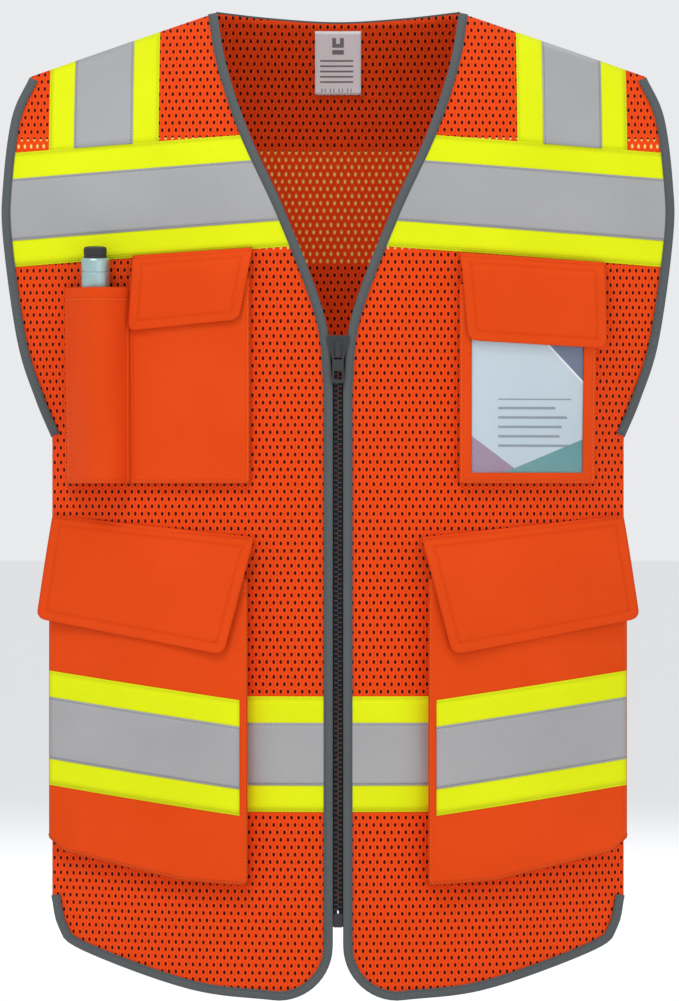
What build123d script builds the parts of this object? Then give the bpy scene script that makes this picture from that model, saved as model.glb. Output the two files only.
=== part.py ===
from build123d import *
import os
from math import exp, pi, sin, sqrt

# High visibility vest, wide-open V neck, zipped front, held open as if worn.
# Millimetres. The origin is the point it hangs from: midway between the neck ends of the
# shoulder seams. +Z is up, the front faces -Y, and the wearer's right is -X.

os.makedirs("parts", exist_ok=True)

# ---- body shape --------------------------------------------------------------------------
half_width = 230.5        # side seam, from the centre line
length = 791.0            # neck end of the shoulder seam down to the lowest point of the hem
front_bow = 95.0          # how far the front stands out at the centre line
back_bow = 90.0           # how far the back stands out
seam_gap = 0.4            # each side of the joined front and back layers
neck_half = 98.5          # neck end of the shoulder seam
shoulder_half = 248.0     # sleeve end of the shoulder seam
shoulder_drop = 52.5      # the sleeve end is this much lower
underarm_drop = 342.0     # side seam's top end
armhole_bulge = 37.5      # the armhole edge stands out past the side seam by this much
side_hem_drop = 712.0     # side seam's lower end, on a vest of the stated length
chest_spread = 189.0      # how much wider the front's arch is at the chest than at the waist
spread_rate = 1.7         # how quickly it widens above the underarm
back_neck_drop = 6.5      # back neckline's dip at the centre
back_hem_rise = 63.0      # the back's hem is this much above the front's lowest point
ridge_reach = 270.0       # the shoulders round over within this height
ridge_power = 3.5
ridge_round = 30.0        # softens the shoulder line's turn at the centre
hem_corner = 43.0         # rounding of the fronts' lower corners
panel_split = 97.0        # the swinging fronts end here; above it the cloth stays with the back
split_gap = 1.0

# ---- cloth and trim ----------------------------------------------------------------------
fabric = 1.2              # mesh cloth
tape = 0.5                # lime tape
silver = 0.4              # reflective tape
ply_gap = 0.1             # between plies sewn together
binding_width = 6.5       # the cloth is sewn in along the binding's inner edge
binding_wall = 1.0        # how far the binding passes the garment's outline
binding_low = -0.35       # from just inside the cloth ...
binding_high = 2.95       # ... to just over the reflective tape
tape_width = 50.0         # reflective tape
lime_border = 21.0        # lime tape showing above and below it
stitch_margin = 1.2       # pocket walls

# ---- bands -------------------------------------------------------------------------------
chest_band_drop = 96.5    # top edge at the centre line
chest_band_slope = 0.0685 # falls towards the armholes
back_band_drop = 108.0
waist_band_rise = 241.5   # top edge above the hem's lowest point
shoulder_band_in = 143.5  # lime strip over the shoulder, inner and outer edges
shoulder_band_out = 232.0
shoulder_silver_in = 164.3
shoulder_silver_out = 211.8

# ---- zip ---------------------------------------------------------------------------------
front_edge = 5.0          # cloth edge from the centre line, under the binding
zip_top = 262.0
zip_bottom_rise = 58.0    # lower end of the chain above the hem's lowest point
tooth_pitch = 3.84
tooth_height = 1.5
tooth_inner = 0.9
tooth_outer = 3.4
tooth_low = -2.9
tooth_high = -0.3
tape_low = -1.9
zip_tape_thick = 0.7
zip_tape_outer = 15.0
box_height = 11.0
pin_radius = 0.8
slider_height = 18.0
slider_top_half = 8.8
slider_bottom_half = 5.2
plate = 1.3
run_gap = 0.35            # running clearance of the slider and its pull
post_half = 0.5
arch_half = 2.0
arch_rise = 4.0
pull_length = 28.0
pull_half = 4.6
pull_plate = 1.6

# ---- pockets -----------------------------------------------------------------------------
pocket_cloth = 1.0
chest_pocket_in = 70.4    # centre line side
chest_pocket_out = 166.3
pen_pocket_out = 218.4
pocket_bottom = 380.0
pen_pocket_top = 223.6
chest_lift = 8.0          # inside height of the flat pockets
chest_flap_lift = 11.0
chest_hinge_drop = 194.0  # flap's stitched edge at its inner end
chest_hinge_slope = 0.0627
chest_flap_in = 68.3
chest_flap_out = 164.0
mouth_drop = 16.0         # pocket mouth below the flap's stitched edge
badge_in = 96.8
badge_out = 206.4
badge_flap_in = 97.6
badge_flap_out = 213.6
badge_hinge_drop = 191.8
window_border = 9.5
window_top = 250.0
window_bottom = 371.5
window_thick = 0.4
card_thick = 0.8
card_low = 6.6
cargo_in = 72.0
cargo_overhang = 2.3      # outer edge past the side seam
cargo_low_out = 126.0     # lower outer corner above the hem
cargo_low_in = 91.0       # lower inner corner above the hem
cargo_lift = 14.0         # depth of the bellows pocket
cargo_hinge_rise = 383.8  # flap's stitched edge at its outer end, above the hem
cargo_hinge_slope = 0.1065
cargo_flap_in = 67.2
cargo_mouth_drop = 32.0
cargo_flap_lift = 16.6
cargo_band_rise = 260.6   # band on the pocket, at its outer end, above the hem
cargo_band_slope = 0.1425
flap_cloth = 1.6
flap_root_lift = 3.0
patch_thick = 0.5         # hook and loop
patch_height = 18.0
chest_patch_drop = 28.0   # below the flap's stitched edge
cargo_patch_drop = 56.0
flap_corner = 7.0         # rounding of a flap's free corners
chest_ramp = 12.0         # a flap reaches its full lift this far below its stitched edge
cargo_ramp = 38.0
straighten = 5.0          # the big flap's ends stand off more than its middle

# ---- torch, card and label ---------------------------------------------------------------
torch_x = 193.6
torch_radius = 11.4
torch_length = 96.0
torch_top = 199.0
cap_radius = 9.3
cap_height = 8.5
torch_clear = 5.2         # between the torch and the cloth behind it
sleeve_half = 25.5
sleeve_clear = 4.6
label_half = 18.75
label_top = 12.8
label_bottom = 63.2
label_thick = 0.5

# ---- worked out from the sizes above -----------------------------------------------------
hem = -length
side_hem = hem + (791.0 - side_hem_drop)
arch_half_width = half_width + 0.5
silver_low = fabric + ply_gap + tape + ply_gap
torch_lift = fabric + torch_clear + torch_radius
sleeve_lift = torch_lift + torch_radius + sleeve_clear
cargo_out = half_width + cargo_overhang
cargo_flap_out = half_width
grid_x = half_width + 70
grid_top = 45.0
grid_bottom = hem - 20
reach = 190.0


def shoulder_line(x):
    """Height of the fold where front and back meet, over the shoulder."""
    fall = shoulder_drop / (shoulder_half - neck_half)
    return fall * (sqrt(neck_half**2 + ridge_round**2) - sqrt(x * x + ridge_round**2))


def stand_out(x, z, bow):
    """How far the cloth stands out from the plane of the side seams."""
    above = z + underarm_drop
    soften = 3 + 90 * max(0.0, 1 - (x / arch_half_width) ** 2)
    rise = (above + sqrt(above * above + soften * soften)) / 2
    spread = 1 - exp(-spread_rate * rise / chest_spread)
    span = arch_half_width + chest_spread * spread
    below_fold = shoulder_line(x) - z
    shoulder = 1 - max(0.0, 1 - below_fold / ridge_reach) ** ridge_power
    return bow * (1 - (x / span) ** 2) * shoulder


def cloth_face(way, lift, x_range, z_range, steps):
    """A sheet through the body shape, way -1 for the front and +1 for the back."""
    bow = front_bow if way < 0 else back_bow
    columns = [x_range[0] + (x_range[1] - x_range[0]) * i / steps[0] for i in range(steps[0] + 1)]
    rows = [z_range[0] + (z_range[1] - z_range[0]) * i / steps[1] for i in range(steps[1] + 1)]
    points = [
        [Vector(x, way * (stand_out(x, z, bow) + seam_gap + lift(x, z)), z) for z in rows]
        for x in columns
    ]
    return Face.make_surface_from_array_of_points(points, tol=0.02)


def flat_lift(x, z):
    return 0.0


def ply(face, way, lift, thick):
    """A layer of cloth of one thickness, lifted off the body shape."""
    return Solid.extrude(face.moved(Location((0, way * lift, 0))), Vector(0, way * thick, 0))


front_face = cloth_face(-1, flat_lift, (-grid_x, grid_x), (grid_bottom, grid_top), (40, 44))
back_face = cloth_face(1, flat_lift, (-grid_x, grid_x), (grid_bottom, grid_top), (40, 44))


def front_ply(lift, thick):
    return ply(front_face, -1, lift, thick)


def back_ply(lift, thick):
    return ply(back_face, 1, lift, thick)


def front_y(x, z, lift):
    return -(stand_out(x, z, front_bow) + seam_gap + lift)


def save(part, node):
    part.label = node
    export_step(part, f"parts/{node}.step")


# ---- outlines, drawn in the front view: x across, z up -----------------------------------


def armhole_edge(s):
    """From the side seam's top end up round the armhole to the shoulder."""
    out = half_width + armhole_bulge
    Spline(
        (s * half_width, -underarm_drop),
        (s * (half_width + 12), -underarm_drop + 30),
        (s * (half_width + 26), -underarm_drop + 76),
        (s * out, -underarm_drop + 160),
        (s * out, -underarm_drop + 202),
        (s * (out - 6.5), -underarm_drop + 257),
        (s * shoulder_half, -shoulder_drop),
    )


def neck_edge(s):
    """From the neck end of the shoulder seam down the V to the zip."""
    Spline(
        (s * neck_half, 0),
        (s * (neck_half - 8.5), -46),
        (s * (neck_half - 27), -101),
        (s * (neck_half - 57), -167),
        (s * (front_edge + 6.5), -zip_top + 15),
        (s * front_edge, -zip_top - 41),
        tangents=((s * 0.05, -1), (0, -1)),
    )


def hem_edge(s):
    """Down the front edge's last stretch, round the corner and along to the side seam."""
    corner = hem_corner * (1 - sqrt(0.5))
    ThreePointArc(
        (s * front_edge, hem + hem_corner),
        (s * (front_edge + corner), hem + corner),
        (s * (front_edge + hem_corner), hem),
    )
    ThreePointArc(
        (s * (front_edge + hem_corner), hem),
        (s * (half_width + front_edge) / 2, hem + 8),
        (s * (half_width - 24), hem + 37),
    )
    ThreePointArc(
        (s * (half_width - 24), hem + 37),
        (s * (half_width - 6), hem + 54),
        (s * half_width, side_hem),
    )


def front_outline(s):
    with BuildSketch() as outline:
        with BuildLine():
            neck_edge(s)
            Line((s * front_edge, -zip_top - 41), (s * front_edge, hem + hem_corner))
            hem_edge(s)
            Line((s * half_width, side_hem), (s * half_width, -underarm_drop))
            armhole_edge(s)
            Line((s * shoulder_half, -shoulder_drop), (s * neck_half, 0))
        make_face()
    return outline.sketch


def back_neck_edge():
    Spline(
        (-neck_half, 0),
        (-neck_half * 0.55, -4),
        (0, -back_neck_drop),
        (neck_half * 0.55, -4),
        (neck_half, 0),
    )


def back_hem_edge():
    ThreePointArc((-half_width, side_hem), (0, hem + back_hem_rise), (half_width, side_hem))


def back_outline():
    with BuildSketch() as outline:
        with BuildLine():
            back_neck_edge()
            Line((neck_half, 0), (shoulder_half, -shoulder_drop))
            armhole_edge(1)
            Line((half_width, -underarm_drop), (half_width, side_hem))
            back_hem_edge()
            Line((-half_width, side_hem), (-half_width, -underarm_drop))
            armhole_edge(-1)
            Line((-shoulder_half, -shoulder_drop), (-neck_half, 0))
        make_face()
    return outline.sketch


def below(z, mode=Mode.INTERSECT):
    """Keep what lies below a height."""
    with Locations((0, z - 500)):
        Rectangle(1200, 1000, mode=mode)


def above(z, mode=Mode.INTERSECT):
    with Locations((0, z + 500)):
        Rectangle(1200, 1000, mode=mode)


def box_between(s, x_in, x_out, z_low, z_high, mode=Mode.ADD):
    """A rectangle in the front view, on one side of the centre line."""
    with Locations((s * (x_in + x_out) / 2, (z_low + z_high) / 2)):
        Rectangle(x_out - x_in, z_high - z_low, mode=mode)


def strip(s, x_in, x_out, top, slope, drop, height, mode=Mode.ADD):
    """A band across one front, its top edge falling or rising with x."""
    Polygon(
        (s * x_in, top - slope * x_in - drop),
        (s * x_out, top - slope * x_out - drop),
        (s * x_out, top - slope * x_out - drop - height),
        (s * x_in, top - slope * x_in - drop - height),
        align=None,
        mode=mode,
    )


def rim(draw, s, middle, grow=0.0):
    """The flat strip that a binding covers along one drawn edge, facing away from the middle."""
    with BuildLine() as line:
        draw(s)
    edge = line.wire()
    count = int(edge.length / rim_step)
    outer = []
    inner = []
    for i in range(count + 1):
        at = i / count
        along = edge % at
        past_end = {0: -grow, count: grow}.get(i, 0.0)
        point = edge @ at + along * past_end
        across = along.cross(Vector(0, 0, 1))
        if across.dot(point - middle) < 0:
            across = -across
        outer.append(point + across * (binding_wall + grow))
        inner.append(point - across * (binding_width + grow))
    with BuildSketch() as strip_shape:
        with BuildLine():
            Spline(*outer)
            Line(outer[-1], inner[-1])
            Spline(*inner)
            Line(inner[0], outer[0])
        make_face()
    return strip_shape.sketch


def binding(flat, make_ply, way):
    """Edge binding over a flat strip."""
    with BuildPart() as folded:
        with BuildSketch(Plane.XZ):
            add(flat)
        extrude(amount=-way * reach)
        add(make_ply(binding_low, binding_high - binding_low), mode=Mode.INTERSECT)
    return folded.part


# ---- where the bindings run, and the cloth that they leave --------------------------------

front_shape = {-1: front_outline(-1), 1: front_outline(1)}
back_shape = back_outline()
band_height = tape_width + 2 * lime_border
rim_step = 9.0
front_top = -panel_split + split_gap / 2
front_low = -panel_split - split_gap / 2


def front_opening_edge(s):
    """The whole bound edge of one front: neck, zip and hem."""
    neck_edge(s)
    Line((s * front_edge, -zip_top - 41), (s * front_edge, hem + hem_corner))
    hem_edge(s)


def back_neck_line(s):
    back_neck_edge()


def back_hem_line(s):
    back_hem_edge()


def under_shoulder(s):
    """Everything below one shoulder seam, drawn on out past the sleeve end."""
    fall = shoulder_drop / (shoulder_half - neck_half)
    far = 2 * shoulder_half
    with BuildSketch() as kept:
        Polygon(
            (0, 0),
            (s * neck_half, 0),
            (s * far, -fall * (far - neck_half)),
            (s * far, hem - 100),
            (0, hem - 100),
            align=None,
        )
    return kept.sketch


def part_of(flat, z_low, z_high):
    """The stretch of a flat strip between two heights."""
    with BuildSketch() as stretch:
        add(flat)
        with Locations((0, (z_low + z_high) / 2)):
            Rectangle(1200, z_high - z_low, mode=Mode.INTERSECT)
    return stretch.sketch


back_middle = Vector(0, -underarm_drop)
back_neck_rim = rim(back_neck_line, 1, back_middle)
back_hem_rim = rim(back_hem_line, 1, back_middle)
back_cloth = back_shape
back_cloth -= rim(back_neck_line, 1, back_middle, ply_gap)
back_cloth -= rim(back_hem_line, 1, back_middle, ply_gap)
opening_rim = {}
armhole_rim = {}
front_cloth = {}
for s in (-1, 1):
    middle = Vector(s * (half_width - 30), -underarm_drop + 92)
    opening_rim[s] = rim(front_opening_edge, s, middle) & under_shoulder(s)
    armhole_rim[s] = rim(armhole_edge, s, middle) & under_shoulder(s)
    opening_cut = rim(front_opening_edge, s, middle, ply_gap)
    armhole_cut = rim(armhole_edge, s, middle, ply_gap)
    front_cloth[s] = front_shape[s] - opening_cut - armhole_cut
    back_cloth -= armhole_cut

# ---- back: one mesh panel, its bands, its bindings and the care label --------------------

with BuildPart() as back_panel:
    with BuildSketch(Plane.XZ):
        add(back_cloth)
    extrude(amount=-reach)
    add(back_ply(0, fabric), mode=Mode.INTERSECT)
save(back_panel.part, "back_panel")

back_bands = {"back_chest": -back_band_drop, "back_waist": hem + waist_band_rise}
for band, top in back_bands.items():
    with BuildPart() as back_lime:
        with BuildSketch(Plane.XZ):
            add(back_cloth)
            below(top)
            above(top - band_height)
        extrude(amount=-reach)
        add(back_ply(fabric + ply_gap, tape), mode=Mode.INTERSECT)
    save(back_lime.part, f"{band}_lime")

    with BuildPart() as back_silver:
        with BuildSketch(Plane.XZ):
            add(back_cloth)
            below(top - lime_border)
            above(top - lime_border - tape_width)
        extrude(amount=-reach)
        add(back_ply(silver_low, silver), mode=Mode.INTERSECT)
    save(back_silver.part, f"{band}_silver")

save(binding(back_hem_rim, back_ply, 1), "back_hem_binding")

with BuildPart() as care_label:
    with BuildSketch(Plane.XZ):
        with Locations((0, -(label_top + label_bottom) / 2)):
            Rectangle(2 * label_half, label_bottom - label_top)
    extrude(amount=-reach)
    add(back_ply(-seam_gap - label_thick, label_thick), mode=Mode.INTERSECT)
save(care_label.part, "care_label")

# ---- shoulders: the fronts' upper cloth, sewn to the back along the shoulder seams -------

neck_strips = [binding(back_neck_rim, back_ply, 1)]
for s in (-1, 1):
    neck_strips.append(binding(part_of(opening_rim[s], front_top, 5), front_ply, -1))
save(Compound(children=neck_strips), "neck_binding")

for side, s in (("right", -1), ("left", 1)):
    with BuildPart() as shoulder_panel:
        with BuildSketch(Plane.XZ):
            add(front_cloth[s])
            above(front_top)
        extrude(amount=reach)
        add(front_ply(0, fabric), mode=Mode.INTERSECT)
    save(shoulder_panel.part, f"{side}_shoulder_panel")

    # The bands run over the shoulder, from the chest band in front to the one behind.
    shoulder_strips = {
        "lime": (shoulder_band_in, shoulder_band_out, fabric + ply_gap, tape),
        "silver": (shoulder_silver_in, shoulder_silver_out, silver_low, silver),
    }
    for strip_name, (x_in, x_out, low, thick) in shoulder_strips.items():
        with BuildPart() as strip_front:
            with BuildSketch(Plane.XZ):
                add(front_cloth[s])
                box_between(s, x_in, x_out, front_top, 50, Mode.INTERSECT)
            extrude(amount=reach)
            add(front_ply(low, thick), mode=Mode.INTERSECT)
        with BuildPart() as strip_back:
            with BuildSketch(Plane.XZ):
                add(back_cloth)
                box_between(s, x_in, x_out, -back_band_drop + ply_gap, 50, Mode.INTERSECT)
            extrude(amount=-reach)
            add(back_ply(low, thick), mode=Mode.INTERSECT)
        save(strip_front.part + strip_back.part, f"{side}_shoulder_{strip_name}")

    armhole_strips = [
        binding(armhole_rim[s], back_ply, 1),
        binding(part_of(armhole_rim[s], front_top, 5), front_ply, -1),
    ]
    save(Compound(children=armhole_strips), f"{side}_armhole_binding")

# ---- fronts: mesh panel, bands and bindings ----------------------------------------------

waist_top = hem + waist_band_rise
zip_low = hem + zip_bottom_rise

for side, s in (("right", -1), ("left", 1)):
    with BuildPart() as front_panel:
        with BuildSketch(Plane.XZ):
            add(front_cloth[s])
            below(front_low)
        extrude(amount=reach)
        add(front_ply(0, fabric), mode=Mode.INTERSECT)
    save(front_panel.part, f"{side}_front_panel")

    with BuildPart() as chest_lime:
        with BuildSketch(Plane.XZ):
            add(front_cloth[s])
            strip(s, 0, grid_x, -chest_band_drop, chest_band_slope, 0, band_height, Mode.INTERSECT)
            below(front_low)
        extrude(amount=reach)
        add(front_ply(fabric + ply_gap, tape), mode=Mode.INTERSECT)
    save(chest_lime.part, f"{side}_chest_lime")

    with BuildPart() as chest_silver:
        with BuildSketch(Plane.XZ):
            add(front_cloth[s])
            strip(s, 0, grid_x, -chest_band_drop, chest_band_slope, lime_border, tape_width, Mode.INTERSECT)
        extrude(amount=reach)
        add(front_ply(silver_low, silver), mode=Mode.INTERSECT)
    save(chest_silver.part, f"{side}_chest_silver")

    # Waist band on the cloth, and the band across the front of the bellows pocket.
    pocket_band_top = hem + cargo_band_rise + cargo_band_slope * cargo_out
    pocket_edge = (cargo_in + 6.5, cargo_out)
    waist_plies = {
        "lime": (0, band_height, fabric + ply_gap, tape),
        "silver": (lime_border, tape_width, silver_low, silver),
    }
    for ply_name, (drop, height, low, thick) in waist_plies.items():
        with BuildPart() as waist_strip:
            with BuildSketch(Plane.XZ):
                add(front_cloth[s])
                below(waist_top - drop)
                above(waist_top - drop - height)
            extrude(amount=reach)
            add(front_ply(low, thick), mode=Mode.INTERSECT)
        with BuildPart() as pocket_strip:
            with BuildSketch(Plane.XZ):
                strip(s, *pocket_edge, pocket_band_top - 2 * cargo_band_slope * cargo_out,
                      -cargo_band_slope, drop, height)
            extrude(amount=reach)
            raised = cargo_lift + pocket_cloth + low - fabric
            add(front_ply(raised, thick), mode=Mode.INTERSECT)
        save(waist_strip.part + pocket_strip.part, f"{side}_waist_{ply_name}")

    lower_rims = {"front": opening_rim[s], "front_armhole": armhole_rim[s]}
    for rim_name, whole_rim in lower_rims.items():
        lower_rim = part_of(whole_rim, hem - 100, front_low)
        save(binding(lower_rim, front_ply, -1), f"{side}_{rim_name}_binding")

# ---- zip: tapes, moulded teeth, box, pin, slider and pull --------------------------------

zip_y = -(front_bow + seam_gap)
chain_top = -zip_top - 4.0
box_top = zip_low + box_height
tooth_count = int((chain_top - box_top - tooth_pitch) / tooth_pitch)
chain_start = box_top + tooth_pitch / 2


def at_zip(lift):
    """Plane facing forwards at a height above the cloth, on the centre line."""
    return Plane.XZ.offset(-(zip_y - lift))


for side, s in (("right", -1), ("left", 1)):
    with BuildPart() as zip_tape:
        with BuildSketch(at_zip(tape_low)):
            box_between(s, tooth_outer + ply_gap, zip_tape_outer, zip_low, chain_top)
        extrude(amount=zip_tape_thick)
    save(zip_tape.part, f"{side}_zip_tape")

    # The two rows are half a pitch apart.
    first = chain_start + (tooth_pitch / 2 if s > 0 else 0)
    with BuildPart() as zip_teeth:
        with BuildSketch(at_zip(tooth_low)):
            for i in range(tooth_count):
                low = first + i * tooth_pitch
                box_between(s, tooth_inner, tooth_outer, low, low + tooth_height)
        extrude(amount=tooth_high - tooth_low)
    save(zip_teeth.part, f"{side}_zip_teeth")

pin_x = tooth_inner + pin_radius
with BuildPart() as zip_pin:
    with BuildSketch(Plane.XY.offset(zip_low + 1)):
        with Locations((-pin_x, zip_y - (tooth_low + tooth_high) / 2)):
            Circle(pin_radius)
    extrude(amount=box_height)
save(zip_pin.part, "zip_pin")

with BuildPart() as zip_box:
    with BuildSketch(at_zip(tooth_low - 0.6)):
        with Locations((0, zip_low + box_height / 2 - 0.5)):
            RectangleRounded(7.4, box_height, 1.2)
    extrude(amount=tooth_high - tooth_low + 1.2)
    with BuildSketch(Plane.XY.offset(zip_low - 1)):
        with Locations((-pin_x, zip_y - (tooth_low + tooth_high) / 2)):
            Circle(pin_radius + run_gap)
        with Locations((-pin_x - 3, zip_y - (tooth_low + tooth_high) / 2)):
            Rectangle(6, 2 * (pin_radius + run_gap))
    extrude(amount=box_height + 3, mode=Mode.SUBTRACT)
    with BuildSketch(at_zip(tape_low - run_gap)):
        box_between(1, tooth_outer, 10, zip_low - 5, zip_low + box_height + 5)
    extrude(amount=zip_tape_thick + 2 * run_gap, mode=Mode.SUBTRACT)
save(zip_box.part, "zip_box")

slider_low = -zip_top - slider_height
front_plate = binding_high + run_gap
back_plate = tooth_low - run_gap - plate
arch_top = -zip_top - 4.0
arch_low = -zip_top - slider_height + 1.0

with BuildPart() as zip_slider:
    for lift in (front_plate, back_plate):
        with BuildSketch(at_zip(lift)):
            Polygon(
                (-slider_top_half, -zip_top),
                (slider_top_half, -zip_top),
                (slider_top_half, -zip_top - 5),
                (slider_bottom_half, slider_low),
                (-slider_bottom_half, slider_low),
                (-slider_top_half, -zip_top - 5),
                align=None,
            )
        extrude(amount=plate)
    with BuildSketch(at_zip(back_plate)):
        with Locations((0, -zip_top - 2)):
            Rectangle(2 * post_half, 4)
    extrude(amount=front_plate - back_plate + plate)
    with BuildSketch(Plane.YZ.offset(-arch_half)):
        with Locations((zip_y - front_plate - plate - arch_rise / 2, (arch_top + arch_low) / 2)):
            Rectangle(arch_rise, arch_top - arch_low)
            Rectangle(arch_rise - 2.4, arch_top - arch_low - 3.0, mode=Mode.SUBTRACT)
        with Locations((zip_y - front_plate - plate - 0.6, (arch_top + arch_low) / 2)):
            Rectangle(1.2, arch_top - arch_low - 3.0, mode=Mode.SUBTRACT)
    extrude(amount=2 * arch_half)
save(zip_slider.part, "zip_slider")

pull_axis_z = (arch_top + arch_low) / 2 - 0.4
pull_axis_y = zip_y - front_plate - plate - (arch_rise - 1.2) / 2
window_reach = (arch_top - arch_low) / 2 + 2.0
rail = 1.4

with BuildPart() as zip_pull:
    with BuildSketch(Plane.XZ.offset(-(pull_axis_y + pull_plate / 2))):
        with Locations((0, pull_axis_z - pull_length / 2 + 0.8)):
            RectangleRounded(2 * pull_half, pull_length, 1.2)
        with Locations((0, pull_axis_z - window_reach / 2)):
            Rectangle(2 * (pull_half - rail), window_reach, mode=Mode.SUBTRACT)
        with Locations((0, pull_axis_z - pull_length + 7)):
            RectangleRounded(2 * (pull_half - rail), 7, 1, mode=Mode.SUBTRACT)
    extrude(amount=pull_plate)
    with BuildSketch(Plane.YZ.offset(-pull_half)):
        with Locations((pull_axis_y, pull_axis_z)):
            Circle(pull_plate / 2)
    extrude(amount=2 * pull_half)
save(zip_pull.part, "zip_pull")

# ---- pockets -----------------------------------------------------------------------------


def pocket_walls(shape, lift):
    """Walls of a patch pocket, stitched to the cloth at both sides and the bottom."""
    low = silver_low + silver + ply_gap
    with BuildPart() as walls:
        with BuildSketch(Plane.XZ):
            add(shape)
        extrude(amount=reach)
        add(front_ply(low, lift - low), mode=Mode.INTERSECT)
    return walls.part


def patch_pocket(node, s, x_in, x_out, mouth, bottom, lift, front_sheet):
    """A pocket with a cloth front and low walls, open at the top."""
    with BuildSketch() as shape:
        box_between(s, x_in, x_out, bottom, mouth)
    with BuildSketch() as wall:
        box_between(s, x_in, x_out, bottom, mouth)
        box_between(s, x_in + stitch_margin, x_out - stitch_margin, bottom + stitch_margin, mouth + 5, Mode.SUBTRACT)
    with BuildPart() as pocket:
        with BuildSketch(Plane.XZ):
            add(shape.sketch)
        extrude(amount=reach)
        add(front_sheet, mode=Mode.INTERSECT)
        add(pocket_walls(wall.sketch, lift))
    save(pocket.part, node)


chest_mouth = -chest_hinge_drop - chest_hinge_slope * (chest_flap_out - chest_flap_in) - mouth_drop
patch_pocket(
    "right_chest_pocket", -1, chest_pocket_in, chest_pocket_out, chest_mouth, -pocket_bottom,
    chest_lift, front_ply(chest_lift, pocket_cloth),
)


def sleeve_bulge(x, z):
    """The pen pocket stands out round the torch."""
    off = (abs(x) - torch_x) / sleeve_half
    return chest_lift + (sleeve_lift - chest_lift) * max(0.0, 1 - off * off)


pen_face = cloth_face(
    -1, sleeve_bulge, (-torch_x - sleeve_half - 6, -torch_x + sleeve_half + 6),
    (-pocket_bottom - 10, -pen_pocket_top + 10), (26, 12),
)
patch_pocket(
    "right_pen_pocket", -1, chest_pocket_out + 0.1, pen_pocket_out, -pen_pocket_top, -pocket_bottom,
    chest_lift, ply(pen_face, -1, 0, pocket_cloth),
)

badge_mouth = -badge_hinge_drop - chest_hinge_slope * badge_flap_out - mouth_drop
window_shape = (badge_in + window_border, badge_out - window_border, -window_bottom, -window_top)
with BuildSketch() as badge_walls:
    box_between(1, badge_in, badge_out, -pocket_bottom, badge_mouth)
    box_between(1, badge_in + stitch_margin, badge_out - stitch_margin, -pocket_bottom + stitch_margin,
                badge_mouth + 5, Mode.SUBTRACT)
with BuildPart() as badge_pocket:
    with BuildSketch(Plane.XZ):
        box_between(1, badge_in, badge_out, -pocket_bottom, badge_mouth)
        box_between(1, *window_shape, Mode.SUBTRACT)
    extrude(amount=reach)
    add(front_ply(chest_lift, pocket_cloth), mode=Mode.INTERSECT)
    add(pocket_walls(badge_walls.sketch, chest_lift))
save(badge_pocket.part, "left_badge_pocket")

overlap = 4.0
with BuildPart() as badge_window:
    with BuildSketch(Plane.XZ):
        box_between(1, window_shape[0] - overlap, window_shape[1] + overlap,
                    window_shape[2] - overlap, window_shape[3] + overlap)
    extrude(amount=reach)
    add(front_ply(chest_lift - ply_gap - window_thick, window_thick), mode=Mode.INTERSECT)
save(badge_window.part, "badge_window")

with BuildPart() as id_card:
    with BuildSketch(Plane.XZ):
        box_between(1, badge_in + stitch_margin + 3, badge_out - stitch_margin - 3,
                    -pocket_bottom + stitch_margin + 2, badge_mouth - 4)
    extrude(amount=reach)
    add(front_ply(card_low, card_thick), mode=Mode.INTERSECT)
save(id_card.part, "id_card")

# The bellows pockets: a front, and a gusset round its sides and bottom.


def cargo_hinge_z(x):
    """Height of the big flap's stitched edge, falling towards the centre line."""
    return hem + cargo_hinge_rise - cargo_hinge_slope * (cargo_flap_out - x)


def cargo_shape(s, inset, top_extra):
    x_in = cargo_in + inset
    x_out = cargo_out - inset
    with BuildSketch() as shape:
        Polygon(
            (s * x_in, cargo_hinge_z(x_in) - cargo_mouth_drop + top_extra),
            (s * x_out, cargo_hinge_z(x_out) - cargo_mouth_drop + top_extra),
            (s * x_out, hem + cargo_low_out + inset),
            (s * (x_out - 14), hem + cargo_low_out - 11 + inset),
            (s * (cargo_in + 52), hem + cargo_low_in + 3 + inset),
            (s * x_in, hem + cargo_low_in + inset),
            align=None,
        )
    return shape.sketch


for side, s in (("right", -1), ("left", 1)):
    with BuildPart() as cargo_front:
        with BuildSketch(Plane.XZ):
            add(cargo_shape(s, 0, 0))
        extrude(amount=reach)
        add(front_ply(cargo_lift, pocket_cloth), mode=Mode.INTERSECT)
    save(cargo_front.part, f"{side}_cargo_front")

    with BuildPart() as cargo_gusset:
        with BuildSketch(Plane.XZ):
            add(cargo_shape(s, 0, 0))
            add(cargo_shape(s, stitch_margin, 20), mode=Mode.SUBTRACT)
        extrude(amount=reach)
        gusset_low = silver_low + silver + ply_gap
        add(front_ply(gusset_low, cargo_lift - ply_gap - gusset_low), mode=Mode.INTERSECT)
    save(cargo_gusset.part, f"{side}_cargo_gusset")

# ---- flaps, each hinged along the edge where it is stitched on ---------------------------


def flap_rise(drop, ramp, low, high):
    """Lift of a flap at a distance below its stitched edge."""
    return low + (high - low) * sin(min(1.0, max(0.0, drop) / ramp) * pi / 2)


def chest_hinge_z(x):
    return -chest_hinge_drop - chest_hinge_slope * (x - chest_flap_in)


def badge_hinge_z(x):
    return -badge_hinge_drop - chest_hinge_slope * x


def chest_flap_rise(x, z):
    return flap_rise(chest_hinge_z(abs(x)) - z, chest_ramp, flap_root_lift, chest_flap_lift)


def badge_flap_rise(x, z):
    return flap_rise(badge_hinge_z(abs(x)) - z, chest_ramp, flap_root_lift, chest_flap_lift)


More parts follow.
